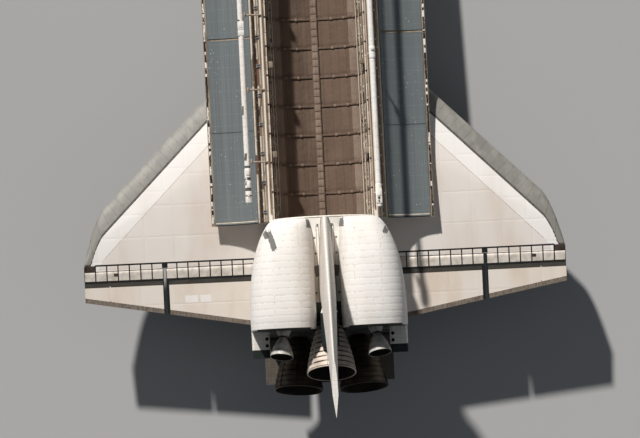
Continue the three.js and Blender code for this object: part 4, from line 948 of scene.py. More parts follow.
def sills():
    """The sill longerons: cream seal, tan and red-brown strips, with rings and small dark blocks."""
    strips, fittings = meshes(2)
    rows = ((94.4, 96.0, 0.55, 0), (96.3, 98.4, 0.3, 1), (98.7, 100.2, 0.25, 2), (100.5, 102.2, 0.45, 0))
    for side in (-1, 1):
        x = BAY_FRONT_X + 3
        while x < BAY_AFT_X - 12:
            end = min(x + draw.uniform(22, 60), BAY_AFT_X - 3)
            for low, high, rise, index in rows:
                if low > 98 and 655 < x < 1296:
                    continue
                near, far = sorted((side * low, side * high))
                block(strips, (x, near, SILL_Z - 0.3), (end - 0.7, far, SILL_Z + rise), 0.08, index=index)
            x = end
        for i in range(50):
            x = 598 + 14.15 * i
            kind = i % 4
            if kind == 0:
                spun(fittings, [(0.5, 0), (1.3, 0), (1.3, 0.5), (0.9, 0.8), (0.5, 0.5), (0.5, 0)],
                     (x, side * 95.4, SILL_Z + 0.5), (0, 0, 1), 16)
            elif kind == 2:
                near, far = sorted((side * 94.4, side * 97.6))
                block(fittings, (x - 1.6, near, SILL_Z), (x + 1.6, far, SILL_Z + 1.2), 0.15, index=1)
    trims = ["cream_trim", "tan_trim", "red_trim"]
    piece("sill_strips", strips, trims)
    piece("sill_fittings", fittings, ["white_paint", "dark"])


def bulkheads():
    """The cloth faces at both ends of the bay, with hand rails, and a seal strip along the aft bulkhead."""
    bm, rails = meshes(2)
    for x, way in ((BAY_FRONT_X + 0.4, 1), (BAY_AFT_X - 0.5, -1)):
        pads = [(-80, -44, 330, 395), (-38, 38, 318, 352), (44, 80, 330, 395), (-84, -30, 400, 440),
                (30, 84, 400, 440)]
        if way < 0:
            pads += [(-26, 26, 358, 398), (-26, 26, 402, 440), (-48, -4, 446, 464), (4, 48, 446, 464)]
        for y0, y1, z0, z1 in pads:
            low, high = sorted((x, x + way * 0.7))
            block(bm, (low, y0, z0), (high, y1, z1), 0.3)
        for side in (-1, 1):
            for z in (398, 442):
                ends = [(x + way * 0.5, side * 36, z), (x + way * 3, side * 37, z)]
                ends += [(x + way * 3, side * 60, z), (x + way * 0.5, side * 61, z)]
                tube(rails, ends, 0.55, 8)
    seal = bmesh.new()
    ring = body_ring((1304.5, *AFT_ROWS[0][1:]), 120, -6.5)
    tube(seal, sorted([p for p in ring if p.z > 414], key=lambda p: p.y), 1.3, 8)
    piece("aft_bulkhead_seal", seal, ["white_paint"])
    piece("bulkhead_quilts", bm, ["liner"])
    piece("bay_hand_rails", rails, ["rail_yellow"])


def aft_fuselage():
    bm = bmesh.new()
    loft(bm, [body_ring(row, 160) for row in smooth(AFT_ROWS, 9)])
    for _, base, up, out in ENGINES:
        place = engine_frame(base, up, out)
        cut_in(bm, bar(bmesh.new(), place @ Vector((0, 0, 24)), place @ Vector((0, 0, 90)), 38, sides=72), 2)
    paint(bm, aft_paint)
    skins = ["deck_blanket", "belly_tile", "base_tile"]
    piece("aft_skin", bm, skins, ["aft_fuselage"], sharp=35)


def aft_paint(middle, normal, index):
    x, y, z = middle
    if index or (normal.x > 0.35 and x > 1500):
        return 2
    if z < 296 + max(0, x - 1440) * 0.25:
        return 1
    return 2 if x > 1515 or (x > 1470 and z > 440) else 0


# Wings and elevons

MAIN_WELL = (1046, 1190, 110, 163, 312)
ELEVON_SPANS = {"inboard": (116, 309.5), "outboard": (314.5, HALF_SPAN)}
CARBON_Y = 186
CARBON_PANELS = 22
SEAL_WIDE = 6
WHITE_WIDE = 50
LINE_X = (1369.5, 1372.6)
ROOT_Y = 105
ROOT_TO_TIP = 363.34
# Shares of the wing's thickness above and below the chord
UPPER, LOWER = 0.58, 0.42
# Shares of the chord ahead of and behind the thickest place
AHEAD, BEHIND = 0.42, 0.58


def leading_x(y):
    if y < 188:
        return mix(500, 1024, (y - ROOT_Y) / 83)
    return 836 + y + max(0, y - 425) ** 2 * 0.036


def trailing_x(y):
    return 1525.24 - 0.17733 * y


def chord_z(y):
    return 285 + (y - ROOT_Y) * DIHEDRAL


def hinge_half(y):
    return mix(12, 6, (y - ROOT_Y) / ROOT_TO_TIP)


def wing_aft(y):
    return HINGE_X - 0.66 * hinge_half(y)


def skin_rise(x, y, share):
    """How far the wing's skin stands from the chord, for the upper or the lower share."""
    thick = mix(62, 17, (y - ROOT_Y) / ROOT_TO_TIP)
    end = 2 * hinge_half(y) / thick
    s = max(0.0, min(1.0, (x - leading_x(y)) / (wing_aft(y) - leading_x(y))))
    if s > AHEAD:
        full = mix(1, end, ((s - AHEAD) / BEHIND) ** 1.5)
    else:
        t = s / AHEAD
        full = sqrt(t) * (1 - 0.18 * t) / 0.82
    return share * thick * full * mix(1, 0.5 / share, s ** 3)


def wing_top(x, y):
    return chord_z(y) + skin_rise(x, y, UPPER)


def band_end(y):
    return min(leading_x(y) + 44, 1369)


def under_carbon(x, y):
    """How far the wing's own skin is pulled in, where carbon panels cover it."""
    return 1.1 if y >= CARBON_Y and x < band_end(y) + 0.2 else 0.0


def wing_ring(y, side):
    """A section from the top of the cove forward over the nose and back below, then up round the cove."""
    nose, aft, half = leading_x(y), wing_aft(y), hinge_half(y)
    marks = [min(band_end(y) + d, aft - 0.3) for d in (0, 0.4, SEAL_WIDE, WHITE_WIDE, WHITE_WIDE + 1.5)]
    xs = sorted([mix(nose, aft, t ** 1.8) for t in steps(46)] + marks)
    top = [(x, chord_z(y) + max(0, skin_rise(x, y, UPPER) - under_carbon(x, y))) for x in reversed(xs)]
    under = [(x, chord_z(y) - max(0, skin_rise(x, y, LOWER) - under_carbon(x, y))) for x in xs]
    if CARBON_Y <= y:
        top = [(max(x, nose + 1.5), z) for x, z in top]
        under = [(max(x, nose + 1.5), z) for x, z in under]
    open_angle = acos(0.66 * half / (half + 0.1))
    arc = [pi - open_angle + 2 * open_angle * t for t in steps(10)]
    cove = [(HINGE_X + (half + 0.1) * cos(a), chord_z(y) - (half + 0.1) * sin(a)) for a in arc]
    return [(x, side * y, z) for x, z in top + under + cove]


def wing_paint(side):
    def choose(middle, normal, index):
        x, y, z = middle.x, abs(middle.y), middle.z
        if index:
            return None
        deep = hypot(x - HINGE_X, z - chord_z(y)) < hinge_half(y) + 0.6 and z < wing_top(x, y) - 0.3
        if deep or (y > 446 and x > 1371):
            return 3
        if normal.z < 0 and z < chord_z(y) + 0.3:
            return 1
        if x < band_end(y) + SEAL_WIDE and y > CARBON_Y:
            return 4
        if y > CARBON_Y and x < band_end(y) + WHITE_WIDE:
            return 2
        if y > CARBON_Y and x < band_end(y) + WHITE_WIDE + 1.5:
            return 5
        if y <= CARBON_Y and x < leading_x(y) + 60:
            return 2
        return 0
    return choose


def wing(side_name, side):
    bm = bmesh.new()
    stations = [96, 100, ROOT_Y] + [mix(ROOT_Y, 185.6, t) for t in steps(22)[1:]] + [186, 188]
    stations += [mix(188, HALF_SPAN - 1, t) for t in steps(88)[1:]] + [HALF_SPAN]
    loft(bm, [wing_ring(y, side) for y in stations])
    x0, x1, y0, y1, roof = MAIN_WELL
    low, high = sorted((side * y0, side * y1))
    cut_in(bm, block(bmesh.new(), (x0, low, 230), (x1, high, roof)))
    face_out(bm)
    paint(bm, wing_paint(side))
    skins = ["wing_blanket", "belly_tile", "wing_white", "brown", "spacer", "thin_seam"]
    piece(f"wing_skin_{side_name}", bm, skins, [f"wing_{side_name}"], sharp=35)
    lines = bmesh.new()
    laid_strip(lines, side, *LINE_X, 120, 446, wing_top)
    for y0, y1 in ELEVON_SPANS.values():
        for y in strip_marks(y0, y1)[1:-1]:
            laid_strip(lines, side, LINE_X[1] - 0.2, wing_aft(y) - 0.1, y - 1.2, y + 1.2, wing_top)
    # A dark strip laid on the wing ahead of the gap between the elevons, wider than the gap: painted shade,
    # standing for the shade down in the gap
    laid_strip(lines, side, LINE_X[1] - 0.2, wing_aft(312) - 0.5, 306, 317, wing_top)
    piece(f"wing_lines_{side_name}", lines, ["dark"])


def strip_marks(y0, y1):
    """The cross lines of the panel row ahead of an elevon."""
    count = round((y1 - y0) / 21.7)
    return [mix(y0, y1, k / count) for k in range(count + 1)]


def laid_strip(bm, side, x0, x1, y0, y1, top, rise=0.07):
    """A thin strip that lies on a wing or elevon, following its upper surface."""
    rings = []
    for t in steps(max(1, round((y1 - y0) / 6))):
        y = mix(y0, y1, t)
        corners = ((x0, -0.25), (x1, -0.25), (x1, rise), (x0, rise))
        rings.append([(x, side * y, top(x, y) + dz) for x, dz in corners])
    loft(bm, rings)


def seam_end(y):
    """Where a seam that starts at y on the leading edge ends, inboard of it, on the band's aft line."""
    ramp = min(1.0, (y - CARBON_Y) / 60, (HALF_SPAN - y) / 60)
    return y - 21 * max(0.0, ramp)


def carbon_panel(bm, y0, y1, side):
    """One panel, wrapped round the leading edge, its rims turned down into the gaps."""
    rings = []
    for f, sunk in [(0, 0.4)] + [(t, 0.0) for t in steps(6)] + [(1, 0.4)]:
        start_y = mix(y0, y1, f)
        end_y = seam_end(start_y)
        ring = []
        for w in [k / 15 for k in range(-15, 16)]:
            t = w ** 2
            y = mix(start_y, end_y, t)
            x = mix(leading_x(start_y), band_end(end_y), t)
            share = UPPER if w < 0 else LOWER
            rise = max(0.0, skin_rise(x, y, share) - sunk)
            ring.append((x + sunk * (1 - t), side * y, chord_z(y) + (rise if w < 0 else -rise)))
        rings.append(ring)
    loft(bm, rings)


def carbon_edge(side_name, side):
    bm = bmesh.new()
    bounds = [mix(CARBON_Y, HALF_SPAN - 1.5, t) for t in steps(CARBON_PANELS)]
    for y0, y1 in zip(bounds, bounds[1:]):
        carbon_panel(bm, y0 + 0.1, y1 - 0.1, side)
    piece(f"carbon_panels_{side_name}", bm, ["carbon"], [f"wing_edge_{side_name}"], sharp=50)


def flap_ring(y, side, hinge_x, tail_x, z, half, marks=(), inset=0.0):
    """A control surface's section: down round the nose, the lower side aft, and the upper side back."""
    half = half - inset
    arc = [radians(90 + 10 * k) for k in range(19)]
    nose = [(hinge_x + half * cos(a), z + half * sin(a)) for a in arc]
    tail_z = z - half * 0.25
    xs = sorted({*marks, *(mix(hinge_x, tail_x, t) for t in steps(16)[1:-1])})
    under = [(x, mix(z - half, tail_z - 0.6, (x - hinge_x) / (tail_x - hinge_x))) for x in xs]
    top = [(x, mix(z + half, tail_z + 0.6, (x - hinge_x) / (tail_x - hinge_x))) for x in xs]
    ring = nose + under + [(tail_x, tail_z - 0.6), (tail_x, tail_z + 0.6)] + top[::-1]
    return [(x, side * y, zz) for x, zz in ring]


STRIP_X = 1405.8
RUB_X = 1414
PLATE_END_X = 1401.2
PLATE_SPACE = 2.4
PATCH_X = (1436, 1450)
FLAP_HINGE = (1534, 287)
FLAP_TAIL_X = 1617


def elevon_top(x, y):
    """The upper surface of an elevon, round its nose too."""
    half = hinge_half(y)
    if x < HINGE_X:
        return chord_z(y) + sqrt(max(0, half ** 2 - (x - HINGE_X) ** 2))
    tail = chord_z(y) - half * 0.25 + 0.6
    return mix(chord_z(y) + half, tail, (x - HINGE_X) / (trailing_x(y) - HINGE_X))


def elevon_paint(place, side):
    def choose(middle, normal, index):
        x, y = middle.x, abs(middle.y)
        y0, y1 = ELEVON_SPANS[place]
        if normal.z < -0.02 and middle.z < chord_z(y) + 1:
            return 1
        # The last 5 in of the inboard elevon and the first 2 in of the outboard one, beside the gap between
        # them, are painted dark: painted shade that widens the gap's own shade
        if x < STRIP_X or (place == "inboard" and y > y1 - 5) or (place == "outboard" and y < y0 + 2):
            return 3
        if x < RUB_X:
            return 2
        if x > trailing_x(y) - 9:
            return 4
        mended = PATCH_X[0] < x < PATCH_X[1] and (222 < y < 244 or 250 < y < 276)
        if place == "inboard" and side < 0 and mended:
            return 5
        return 0
    return choose


def elevon(place, side_name, side):
    y0, y1 = ELEVON_SPANS[place]
    body = f"elevon_{place}_{side_name}"
    bm = bmesh.new()
    marks = (STRIP_X, RUB_X, *PATCH_X)
    middle = [mix(y0 + 2, y1 - 5, t) for t in steps(44)[1:-1]]
    stations = [y0, y0 + 0.3, y0 + 2] + middle + [y1 - 5, y1 - 0.3, y1]
    rings = []
    for y in stations:
        tail = trailing_x(y)
        lines = [x for x in (*marks, tail - 9) if x < tail - 1]
        rings.append(flap_ring(y, side, HINGE_X, tail, chord_z(y), hinge_half(y), lines, 0.3))
    loft(bm, even_rings(rings))
    face_out(bm)
    paint(bm, elevon_paint(place, side))
    skins = ["elevon_blanket", "belly_tile", "rub_strip", "dark", "trail_edge", "wing_white"]
    piece(f"{body}_skin", bm, skins, [body], sharp=40, body=body)
    flipper_plates(body, y0, y1, side)


def even_rings(rings):
    """Rings of one length: where two marks fall together the last point before the tail is repeated."""
    most = max(len(ring) for ring in rings)
    return [ring + [ring[-1]] * (most - len(ring)) for ring in rings]


def flipper_plates(body, y0, y1, side):
    """The row of alloy panels over the hinge, flush with the wing, with thin dark gaps."""
    bm = bmesh.new()
    marks = strip_marks(y0, y1)
    for start_y, end_y in zip(marks, marks[1:]):
        low, high = start_y + PLATE_SPACE / 2, end_y - PLATE_SPACE / 2
        rings = []
        for y, sunk in ((low, 0.45), (low, 0.0), ((low + high) / 2, 0.0), (high, 0.0), (high, 0.45)):
            front = HINGE_X - 0.6 * hinge_half(y)
            line = [(mix(front, PLATE_END_X, t), 0.0) for t in steps(8)]
            line = [(line[0][0], 0.45)] + line + [(line[-1][0], 0.45)]
            rings.append([(x, side * y, elevon_top(x, y) - 0.02 - max(sunk, drop)) for x, drop in line])
        loft(bm, rings, closed=False, capped=False)
    piece(f"{body}_plates", bm, ["flipper"], sharp=40, body=body)
    if y0 > 300:
        port = bmesh.new()
        laid_strip(port, side, 1387.4, 1393.4, 403, 411, elevon_top)
        piece(f"{body}_port_mark", port, ["brown"], body=body)


def body_flap():
    bm = bmesh.new()
    stations = [-125, -124.6] + [mix(-125, 125, t) for t in steps(40)[1:-1]] + [124.6, 125]
    hinge_x, hinge_z = FLAP_HINGE
    loft(bm, [flap_ring(y, 1, hinge_x, FLAP_TAIL_X, hinge_z, 9, (1548,)) for y in stations])
    face_out(bm)
    paint(bm, lambda middle, normal, index: 1 if normal.z < 0 else 0)
    piece("body_flap_skin", bm, ["flap_tile", "belly_tile"], ["body_flap"], body="body_flap")


# Engines, pods and tail

# Each engine's node, the root of its thrust line, and the line's tilt upwards and outwards
ENGINES = [
    ("main_engine_upper", (1445, 0, 443), 16, 0), ("main_engine_port", (1468.2, -53, 342.6), 10, -3.5),
    ("main_engine_starboard", (1468.2, 53, 342.6), 10, 3.5),
]
# A bell's inner radius at its throat and mouth, and the heights of both on the thrust line
BELL, BELL_SPAN = (5.2, 45.2), (50, 168)
POD_BELL, POD_SPAN = (3.4, 21.5), (16, 58)
POD_TILT = (15.8, 6.5)


def thrust_way(up, out):
    up, out = radians(up), radians(out)
    return Vector((cos(up) * cos(out), sin(out), sin(up)))


def engine_frame(base, up, out):
    """The matrix from an engine's own frame, z along its thrust line, to stations."""
    return turned_to(base, thrust_way(up, out))


def bell_radius(t, throat, mouth):
    """A bell's inner radius at a share of its length."""
    return throat + (mouth - throat) * (1.55 * t - 0.55 * t * t) ** 0.86


def bell_wall(t):
    """A main bell's outer radius, its tubes thinning towards the mouth."""
    return bell_radius(t, *BELL) + 1.3 + 1.2 * (1 - t)


def main_engine(name, base, up, out):
    way = thrust_way(up, out)
    outer, inner, bands, quilt, lines = meshes(5)
    wall = [(bell_wall(t), mix(*BELL_SPAN, t)) for t in steps(40)[4:]]
    spun(outer, wall + [(46.5, 168.4), (45.3, 168.2)], base, way, 96)
    bore = [(bell_radius(t, *BELL), mix(*BELL_SPAN, t)) for t in steps(40)]
    spun(inner, [(0, 46.5), (5.0, 47)] + bore + [(45.3, 168.2)], base, way, 96)
    for k in range(9):
        t = 0.24 + 0.088 * k
        height, radius = mix(*BELL_SPAN, t), bell_wall(t)
        profile = [(radius - 0.6, height - 4.0), (radius + 0.5, height - 3.7), (radius + 0.9, height - 3.0),
                   (radius + 1.0, height + 2.8), (radius + 1.5, height + 3.6), (radius + 0.5, height + 4.0)]
        spun(bands, profile, base, way, 96)
    rim = [(45.2, 166.2), (46.6, 166.2), (47.5, 167.0), (47.3, 168.3), (45.4, 168.4), (45.2, 166.2)]
    spun(bands, rim, base, way, 96)
    shield = [(13, 66), (20, 64.5), (27, 61), (31, 57.5), (34.5, 53.5), (36.4, 50), (36.9, 46.4),
              (33, 44.6), (30, 44)]
    spun(quilt, shield, base, way, 96)
    place = engine_frame(base, up, out)
    for degrees in (20, 100, 140, 220, 260, 340):
        a = radians(degrees)
        path = []
        for t in steps(24):
            s = mix(0.22, 0.97, t)
            r = bell_radius(s, *BELL) + 2.6 + 1.2 * (1 - s)
            path.append(place @ Vector((r * cos(a), r * sin(a), mix(*BELL_SPAN, s))))
        tube(lines, path, 0.9, 8)
    piece(f"{name}_bell", outer, ["bell"], [name], sharp=40)
    piece(f"{name}_bore", inner, ["bell_inside"], sharp=60)
    # The lower bells take the bands' copy that is painted in shade
    band = "hat_band" if up > 12 else "shaded_band"
    piece(f"{name}_bands", bands, [band], sharp=40)
    piece(f"{name}_drains", lines, [band])
    piece(f"{name}_shield", quilt, ["heat_quilt"], sharp=50)


# Station, inner side, outer side, bottom and top
POD_ROWS = [
    (1307.6, 30, 97, 446, 514), (1314, 28, 108, 436, 530), (1330, 26.5, 119, 428, 544),
    (1355, 25, 130.5, 422, 556), (1390, 24, 141, 420, 565), (1440, 24, 148, 421, 570),
    (1490, 24, 150.5, 424, 570), (1519, 25, 150.5, 428, 566),
]
POD_MIDDLE = (1517, 88, 494)


def pod_ring(row, side, count):
    x, inner, outer, low, top = row
    ring = []
    for k in range(960):
        c, s = cos(tau * k / 960), sin(tau * k / 960)
        y = (inner + outer) / 2 + (outer - inner) / 2 * copysign(abs(c) ** 0.8, c)
        z = (low + top) / 2 + (top - low) / 2 * copysign(abs(s) ** 0.8, s)
        ring.append((x, side * y, z))
    return evenly(ring, count)


def pod_paint(middle, normal, index):
    """White blankets, with the dark base on the aft face only."""
    return None if index else int(normal.x > 0.75 and middle.x > 1505)


def pod(side_name, side):
    bm = bmesh.new()
    rows = smooth(POD_ROWS, 6)
    rounded = [(1521.5, 27.5, 148, 431, 563)]
    loft(bm, [pod_ring(row, side, 128) for row in rows + rounded])
    base = Vector((POD_MIDDLE[0], side * POD_MIDDLE[1], POD_MIDDLE[2]))
    place = engine_frame(base, POD_TILT[0], side * POD_TILT[1])
    cut_in(bm, bar(bmesh.new(), place @ Vector((0, 0, -5)), place @ Vector((0, 0, 34)), 16.5, sides=64), 1)
    face_out(bm)
    paint(bm, pod_paint)
    skins = ["pod_blanket", "base_tile"]
    piece(f"pod_skin_{side_name}", bm, skins, [f"pod_{side_name}"], sharp=40)
    stinger(side_name, side)


STINGER_X = (1462, 1571)
STINGER_TOP = (486, 470)


def stinger(side_name, side):
    """The thruster housing beside the pod, with its upward, outward and aft cups."""
    bm = bmesh.new()
    rings = []
    for t in steps(14):
        x = mix(*STINGER_X, t)
        low, top = mix(430, 440, t), mix(*STINGER_TOP, t)
        half, middle = 17, 133
        ring = []
        for k in range(720):
            c, s = cos(tau * k / 720), sin(tau * k / 720)
            y = middle + half * copysign(abs(c) ** 0.28, c)
            z = (low + top) / 2 + (top - low) / 2 * copysign(abs(s) ** 0.28, s)
            ring.append((x, side * y, z))
        rings.append(evenly(ring, 72))
    loft(bm, rings)
    cups = bmesh.new()
    for x in (1535, 1548):
        top = mix(*STINGER_TOP, (x - STINGER_X[0]) / (STINGER_X[1] - STINGER_X[0]))
        thruster(cups, (x, side * 121, top + 0.3), (0, 0, 1), 5)
    for x, z in ((1520, 464), (1533, 463), (1546, 462), (1559, 461)):
        thruster(cups, (x, side * 150.2, z), (0, side, 0), 4.6)
    for z in (448, 461):
        thruster(cups, (1571.2, side * 139, z), (1, 0, 0), 4.6)
    cut_in(bm, cups, 2)
    paint(bm, lambda middle, normal, index: None if index else int(middle.x > 1556.5 or normal.z < -0.7))
    skins = ["white_tile", "base_tile", "dark"]
    piece(f"stinger_{side_name}", bm, skins, sharp=30)


def pod_nozzle(side_name, side):
    base = (POD_MIDDLE[0], side * POD_MIDDLE[1], POD_MIDDLE[2])
    way = thrust_way(POD_TILT[0], side * POD_TILT[1])
    bell, bore, collar = meshes(3)
    outer = [(bell_radius(t, *POD_BELL) + 0.8, mix(*POD_SPAN, t)) for t in steps(28)[2:]]
    spun(bell, outer + [(22.1, 58.2), (21.5, 58.1)], base, way, 72)
    inner = [(bell_radius(t, *POD_BELL), mix(*POD_SPAN, t)) for t in steps(28)]
    spun(bore, [(0, 14.5), (3.2, 15)] + inner, base, way, 72)
    spun(collar, [(9.4, 17), (11, 13), (13.5, 8), (14.8, 3), (15.6, -3.8)], base, way, 72)
    for height in (40, 52):
        radius = bell_radius((height - POD_SPAN[0]) / (POD_SPAN[1] - POD_SPAN[0]), *POD_BELL) + 0.8
        ring = [(radius - 0.2, height - 0.9), (radius + 0.5, height - 0.6), (radius + 0.5, height + 0.6),
                (radius - 0.1, height + 0.9)]
        spun(collar, ring, base, way, 72)
    node = f"pod_nozzle_{side_name}"
    piece(f"{node}_bell", bell, ["pod_bell"], [node], sharp=40)
    piece(f"{node}_bore", bore, ["bell_inside"], sharp=60)
    piece(f"{node}_collar", collar, ["pod_bell"], sharp=40)


FIN_ROOT_Z = 500
FIN_TIP_Z = 815.7
# Share of the fin's chord, and its thickness there as a share of the whole
FIN_OUTLINE = [(0, 0), (0.01, 0.16), (0.04, 0.33), (0.12, 0.55), (0.3, 0.82), (0.6, 1), (1, 0.04)]
RUDDER_Z = (594, 798)


def fin_share(z):
    return (z - FIN_ROOT_Z) / (FIN_TIP_Z - FIN_ROOT_Z)


def fin_x(z, share):
    """The station at a share of the fin's chord, which leans aft by 45 degrees and narrows upwards."""
    return 1277.9 + (z - FIN_ROOT_Z) + mix(268.5, 108.47, fin_share(z)) * share


def fin_half(z, share):
    """The fin's half thickness at a share of its chord."""
    whole = mix(32, 11, fin_share(z)) / 2
    for (s0, t0), (s1, t1) in zip(FIN_OUTLINE, FIN_OUTLINE[1:]):
        if share <= s1:
            return whole * mix(t0, t1, (share - s0) / (s1 - s0))
    return whole * FIN_OUTLINE[-1][1]


def fin_blade():
    bm = bmesh.new()
    shares = sorted([t ** 1.6 for t in steps(40)] + [0.01, 0.04])
    rings = []
    for z in [mix(498, FIN_TIP_Z, t) for t in steps(90)]:
        right = [(fin_x(z, s), fin_half(z, s), z) for s in shares]
        left = [(x, -y, z) for x, y, z in right[:0:-1]]
        rings.append(right + left)
    return loft(bm, rings)


def rudder_room(side, grow):
    """The space of one rudder half, square to its hinge line."""
    def at(z):
        return Vector((fin_x(z, 0.6), side * fin_half(z, 0.6), z))
    along = at(RUDDER_Z[1]) - at(RUDDER_Z[0])
    up = along.normalized()
    aft = (Vector((0, side, 0)).cross(up) * side).normalized()
    out = up.cross(aft)
    front = -min(grow, 0.05)
    rings = []
    for a in (-grow, along.length + grow):
        corners = ((front, -40), (160, -40), (160, 40), (front, 40))
        rings.append([at(RUDDER_Z[0]) + up * a + aft * b + out * c for b, c in corners])
    return loft(bmesh.new(), rings)


def fin_paint(middle, normal, index):
    x, y, z = middle
    if index:
        return None
    share = (x - fin_x(z, 0)) / (fin_x(z, 1) - fin_x(z, 0))
    if share < 0.035 or z > FIN_TIP_Z - 6:
        return 1
    if z < 541 and share > 0.9:
        return 2
    return 0


def upper_engine_room():
    """The widening space that the fin and the chute housing leave round the upper engine."""
    place = engine_frame(*ENGINES[0][1:])
    return bar(bmesh.new(), place @ Vector((0, 0, 20)), place @ Vector((0, 0, 200)), 38.2, 52, sides=64)


def fin():
    bm = fin_blade()
    for side in (-1, 1):
        cut_in(bm, rudder_room(side, 0.3), 2)
    carve(bm, chute_box(0.1))
    cut_in(bm, upper_engine_room(), 2)
    carve(bm, block(bmesh.new(), (1200, -40, 470), (BAY_AFT_X + 0.8, 40, 560)))
    face_out(bm)
    paint(bm, fin_paint)
    skins = ["fin_blanket", "white_tile", "base_tile"]
    piece("fin_skin", bm, skins, ["fin"], sharp=35)


def rudder(side_name, side):
    bm = fin_blade()
    carve(bm, rudder_room(side, 0.0), "INTERSECT")
    low, high = sorted((side * 0.15, side * 40))
    carve(bm, block(bmesh.new(), (1300, low, 400), (1760, high, 830), index=1), "INTERSECT")
    node = f"rudder_{side_name}"
    piece(f"{node}_skin", bm, ["fin_blanket", "base_tile"], [node], sharp=35, body=node)


def chute_box(grow):
    """The drag chute housing's plain form, grown outwards."""
    rings = []
    for x, share, lift in ((1470 - grow, 0.55, -4), (1494, 1, 0), (1556 + grow, 1, 0)):
        half, top = 17 * share + grow, 541 + lift + grow
        right = [(half * 0.55, top), (half, top - 12), (half, 490)]
        ring = [(-y, z) for y, z in reversed(right)] + right
        rings.append([(x, y, z) for y, z in ring])
    return loft(bmesh.new(), rings)


def chute_housing():
    bm = chute_box(0)
    edges = [edge for edge in bm.edges if edge.calc_face_angle(0) > 0.3]
    bmesh.ops.bevel(bm, geom=edges, offset=2.2, segments=4, affect="EDGES", profile=0.5, material=-1)
    carve(bm, loft(bmesh.new(), [body_ring(row, 96, 0.1) for row in AFT_ROWS]))
    carve(bm, upper_engine_room())
    # Aft of station 1488 the white-tiled housing is drawn in black base tiles: painted shade, where the
    # housing lies in shade
    paint(bm, lambda middle, normal, index: int(middle.x > 1488))
    piece("chute_cover", bm, ["white_tile", "base_tile"], ["chute_housing"], sharp=40)


# Payload bay doors and their radiators, drawn closed and turned open

DOOR_OPEN = radians(175.5)
DOOR_POWER = 2 / 2.2
RADIATOR_JOINS = [582, 763, 944.5, 1126, 1307]


def opened(side):
    """The matrix that swings a closed door's shapes open on its hinge line."""
    pin = Vector((0, side * BODY_HALF, SILL_Z))
    return Matrix.Translation(pin) @ Matrix.Rotation(-side * DOOR_OPEN, 4, "X") @ Matrix.Translation(-pin)


def door_point(x, side, t, depth):
    """A point of the closed door: t is 0 at the hinge and 1 at the top, depth is measured inwards."""
    a = t * pi / 2
    y = (BODY_HALF - depth) * cos(a) ** DOOR_POWER
    z = SILL_Z + (DOOR_TOP_Z - SILL_Z - depth) * sin(a) ** DOOR_POWER
    return Vector((x, side * max(y, 0.15), max(z, SILL_Z + 0.25)))


def curved_slab(bm, side, x0, x1, t0, t1, outer, inner, count=6, lengths=1, index=0):
    """A slab that follows the door's curve, between two stations and two depths."""
    before = set(bm.faces)
    rings = []
    for u in steps(lengths):
        x = mix(x0, x1, u)
        line = [door_point(x, side, mix(t0, t1, v), outer) for v in steps(count)]
        back = [door_point(x, side, mix(t0, t1, v), inner) for v in steps(count)]
        rings.append(line + back[::-1])
    loft(bm, rings)
    for face in bm.faces:
        if face not in before:
            face.material_index = index


def bay_door(side_name, side):
    body = f"{side_name}_door"
    turn = opened(side)
    shell = bmesh.new()
    curved_slab(shell, side, 582.3, 1306.7, 0.0, 1.0, 0.0, 2.45, 64, 52)
    face_out(shell)
    paint(shell, lambda at, normal, index: int(normal.y * at.y + normal.z * (at.z - SILL_Z) < 0))
    piece(f"{body}_shell", shell, ["blanket", "door_inner"], [f"bay_door_{side_name}"],
          sharp=40, turn=turn, body=body)
    door_strips(body, side, turn)
    door_latches(body, side, turn)
    for place, first in (("forward", 0), ("aft", 2)):
        ends = (RADIATOR_JOINS[first], RADIATOR_JOINS[first + 2])
        radiator(body, f"radiator_{place}_{side_name}", side, *ends, turn)


def door_strips(body, side, turn):
    """Lengthwise strips on the door's inner face near the hinge, and the dashed seal at its free edge."""
    bm = bmesh.new()
    rows = ((0.312, 0.344, 3.3, 0), (0.268, 0.302, 3.0, 1), (0.214, 0.258, 2.9, 2), (0.162, 0.204, 3.2, 0),
            (0.112, 0.152, 2.9, 1), (0.066, 0.102, 2.8, 0))
    x = 584.0
    while x < 1300:
        end = min(x + draw.uniform(26, 64), 1305)
        for t0, t1, depth, index in rows:
            if draw.random() < 0.12:
                index = draw.choice((0, 1, 2))
            curved_slab(bm, side, x + 0.3, end - 0.3, t0, t1, 2.4, depth, 3, 1, index)
        x = end
    trims = ["cream_trim", "tan_trim", "red_trim"]
    piece(f"{body}_strips", bm, trims, turn=turn, body=body)
    dashes = bmesh.new()
    x = 583.5
    pale = 0.42 if side < 0 else 0.16
    while x < 1300:
        end = x + draw.choice((2.2, 3.5, 5.5, 9))
        low = draw.uniform(0.976, 0.986)
        high = draw.uniform(0.99, 0.997)
        curved_slab(dashes, side, x, end, low, high, 2.4, 3.1, 2, 1, int(draw.random() < pale))
        x = end
    piece(f"{body}_edge_seal", dashes, ["dark", "white_paint"], turn=turn, body=body)
    joints = bmesh.new()
    for x in RADIATOR_JOINS[1:4]:
        curved_slab(joints, side, x - 0.35, x + 0.35, 0.0, 0.999, -0.12, 0.4, 40)
    piece(f"{body}_joints", joints, ["dark"], turn=turn, body=body)


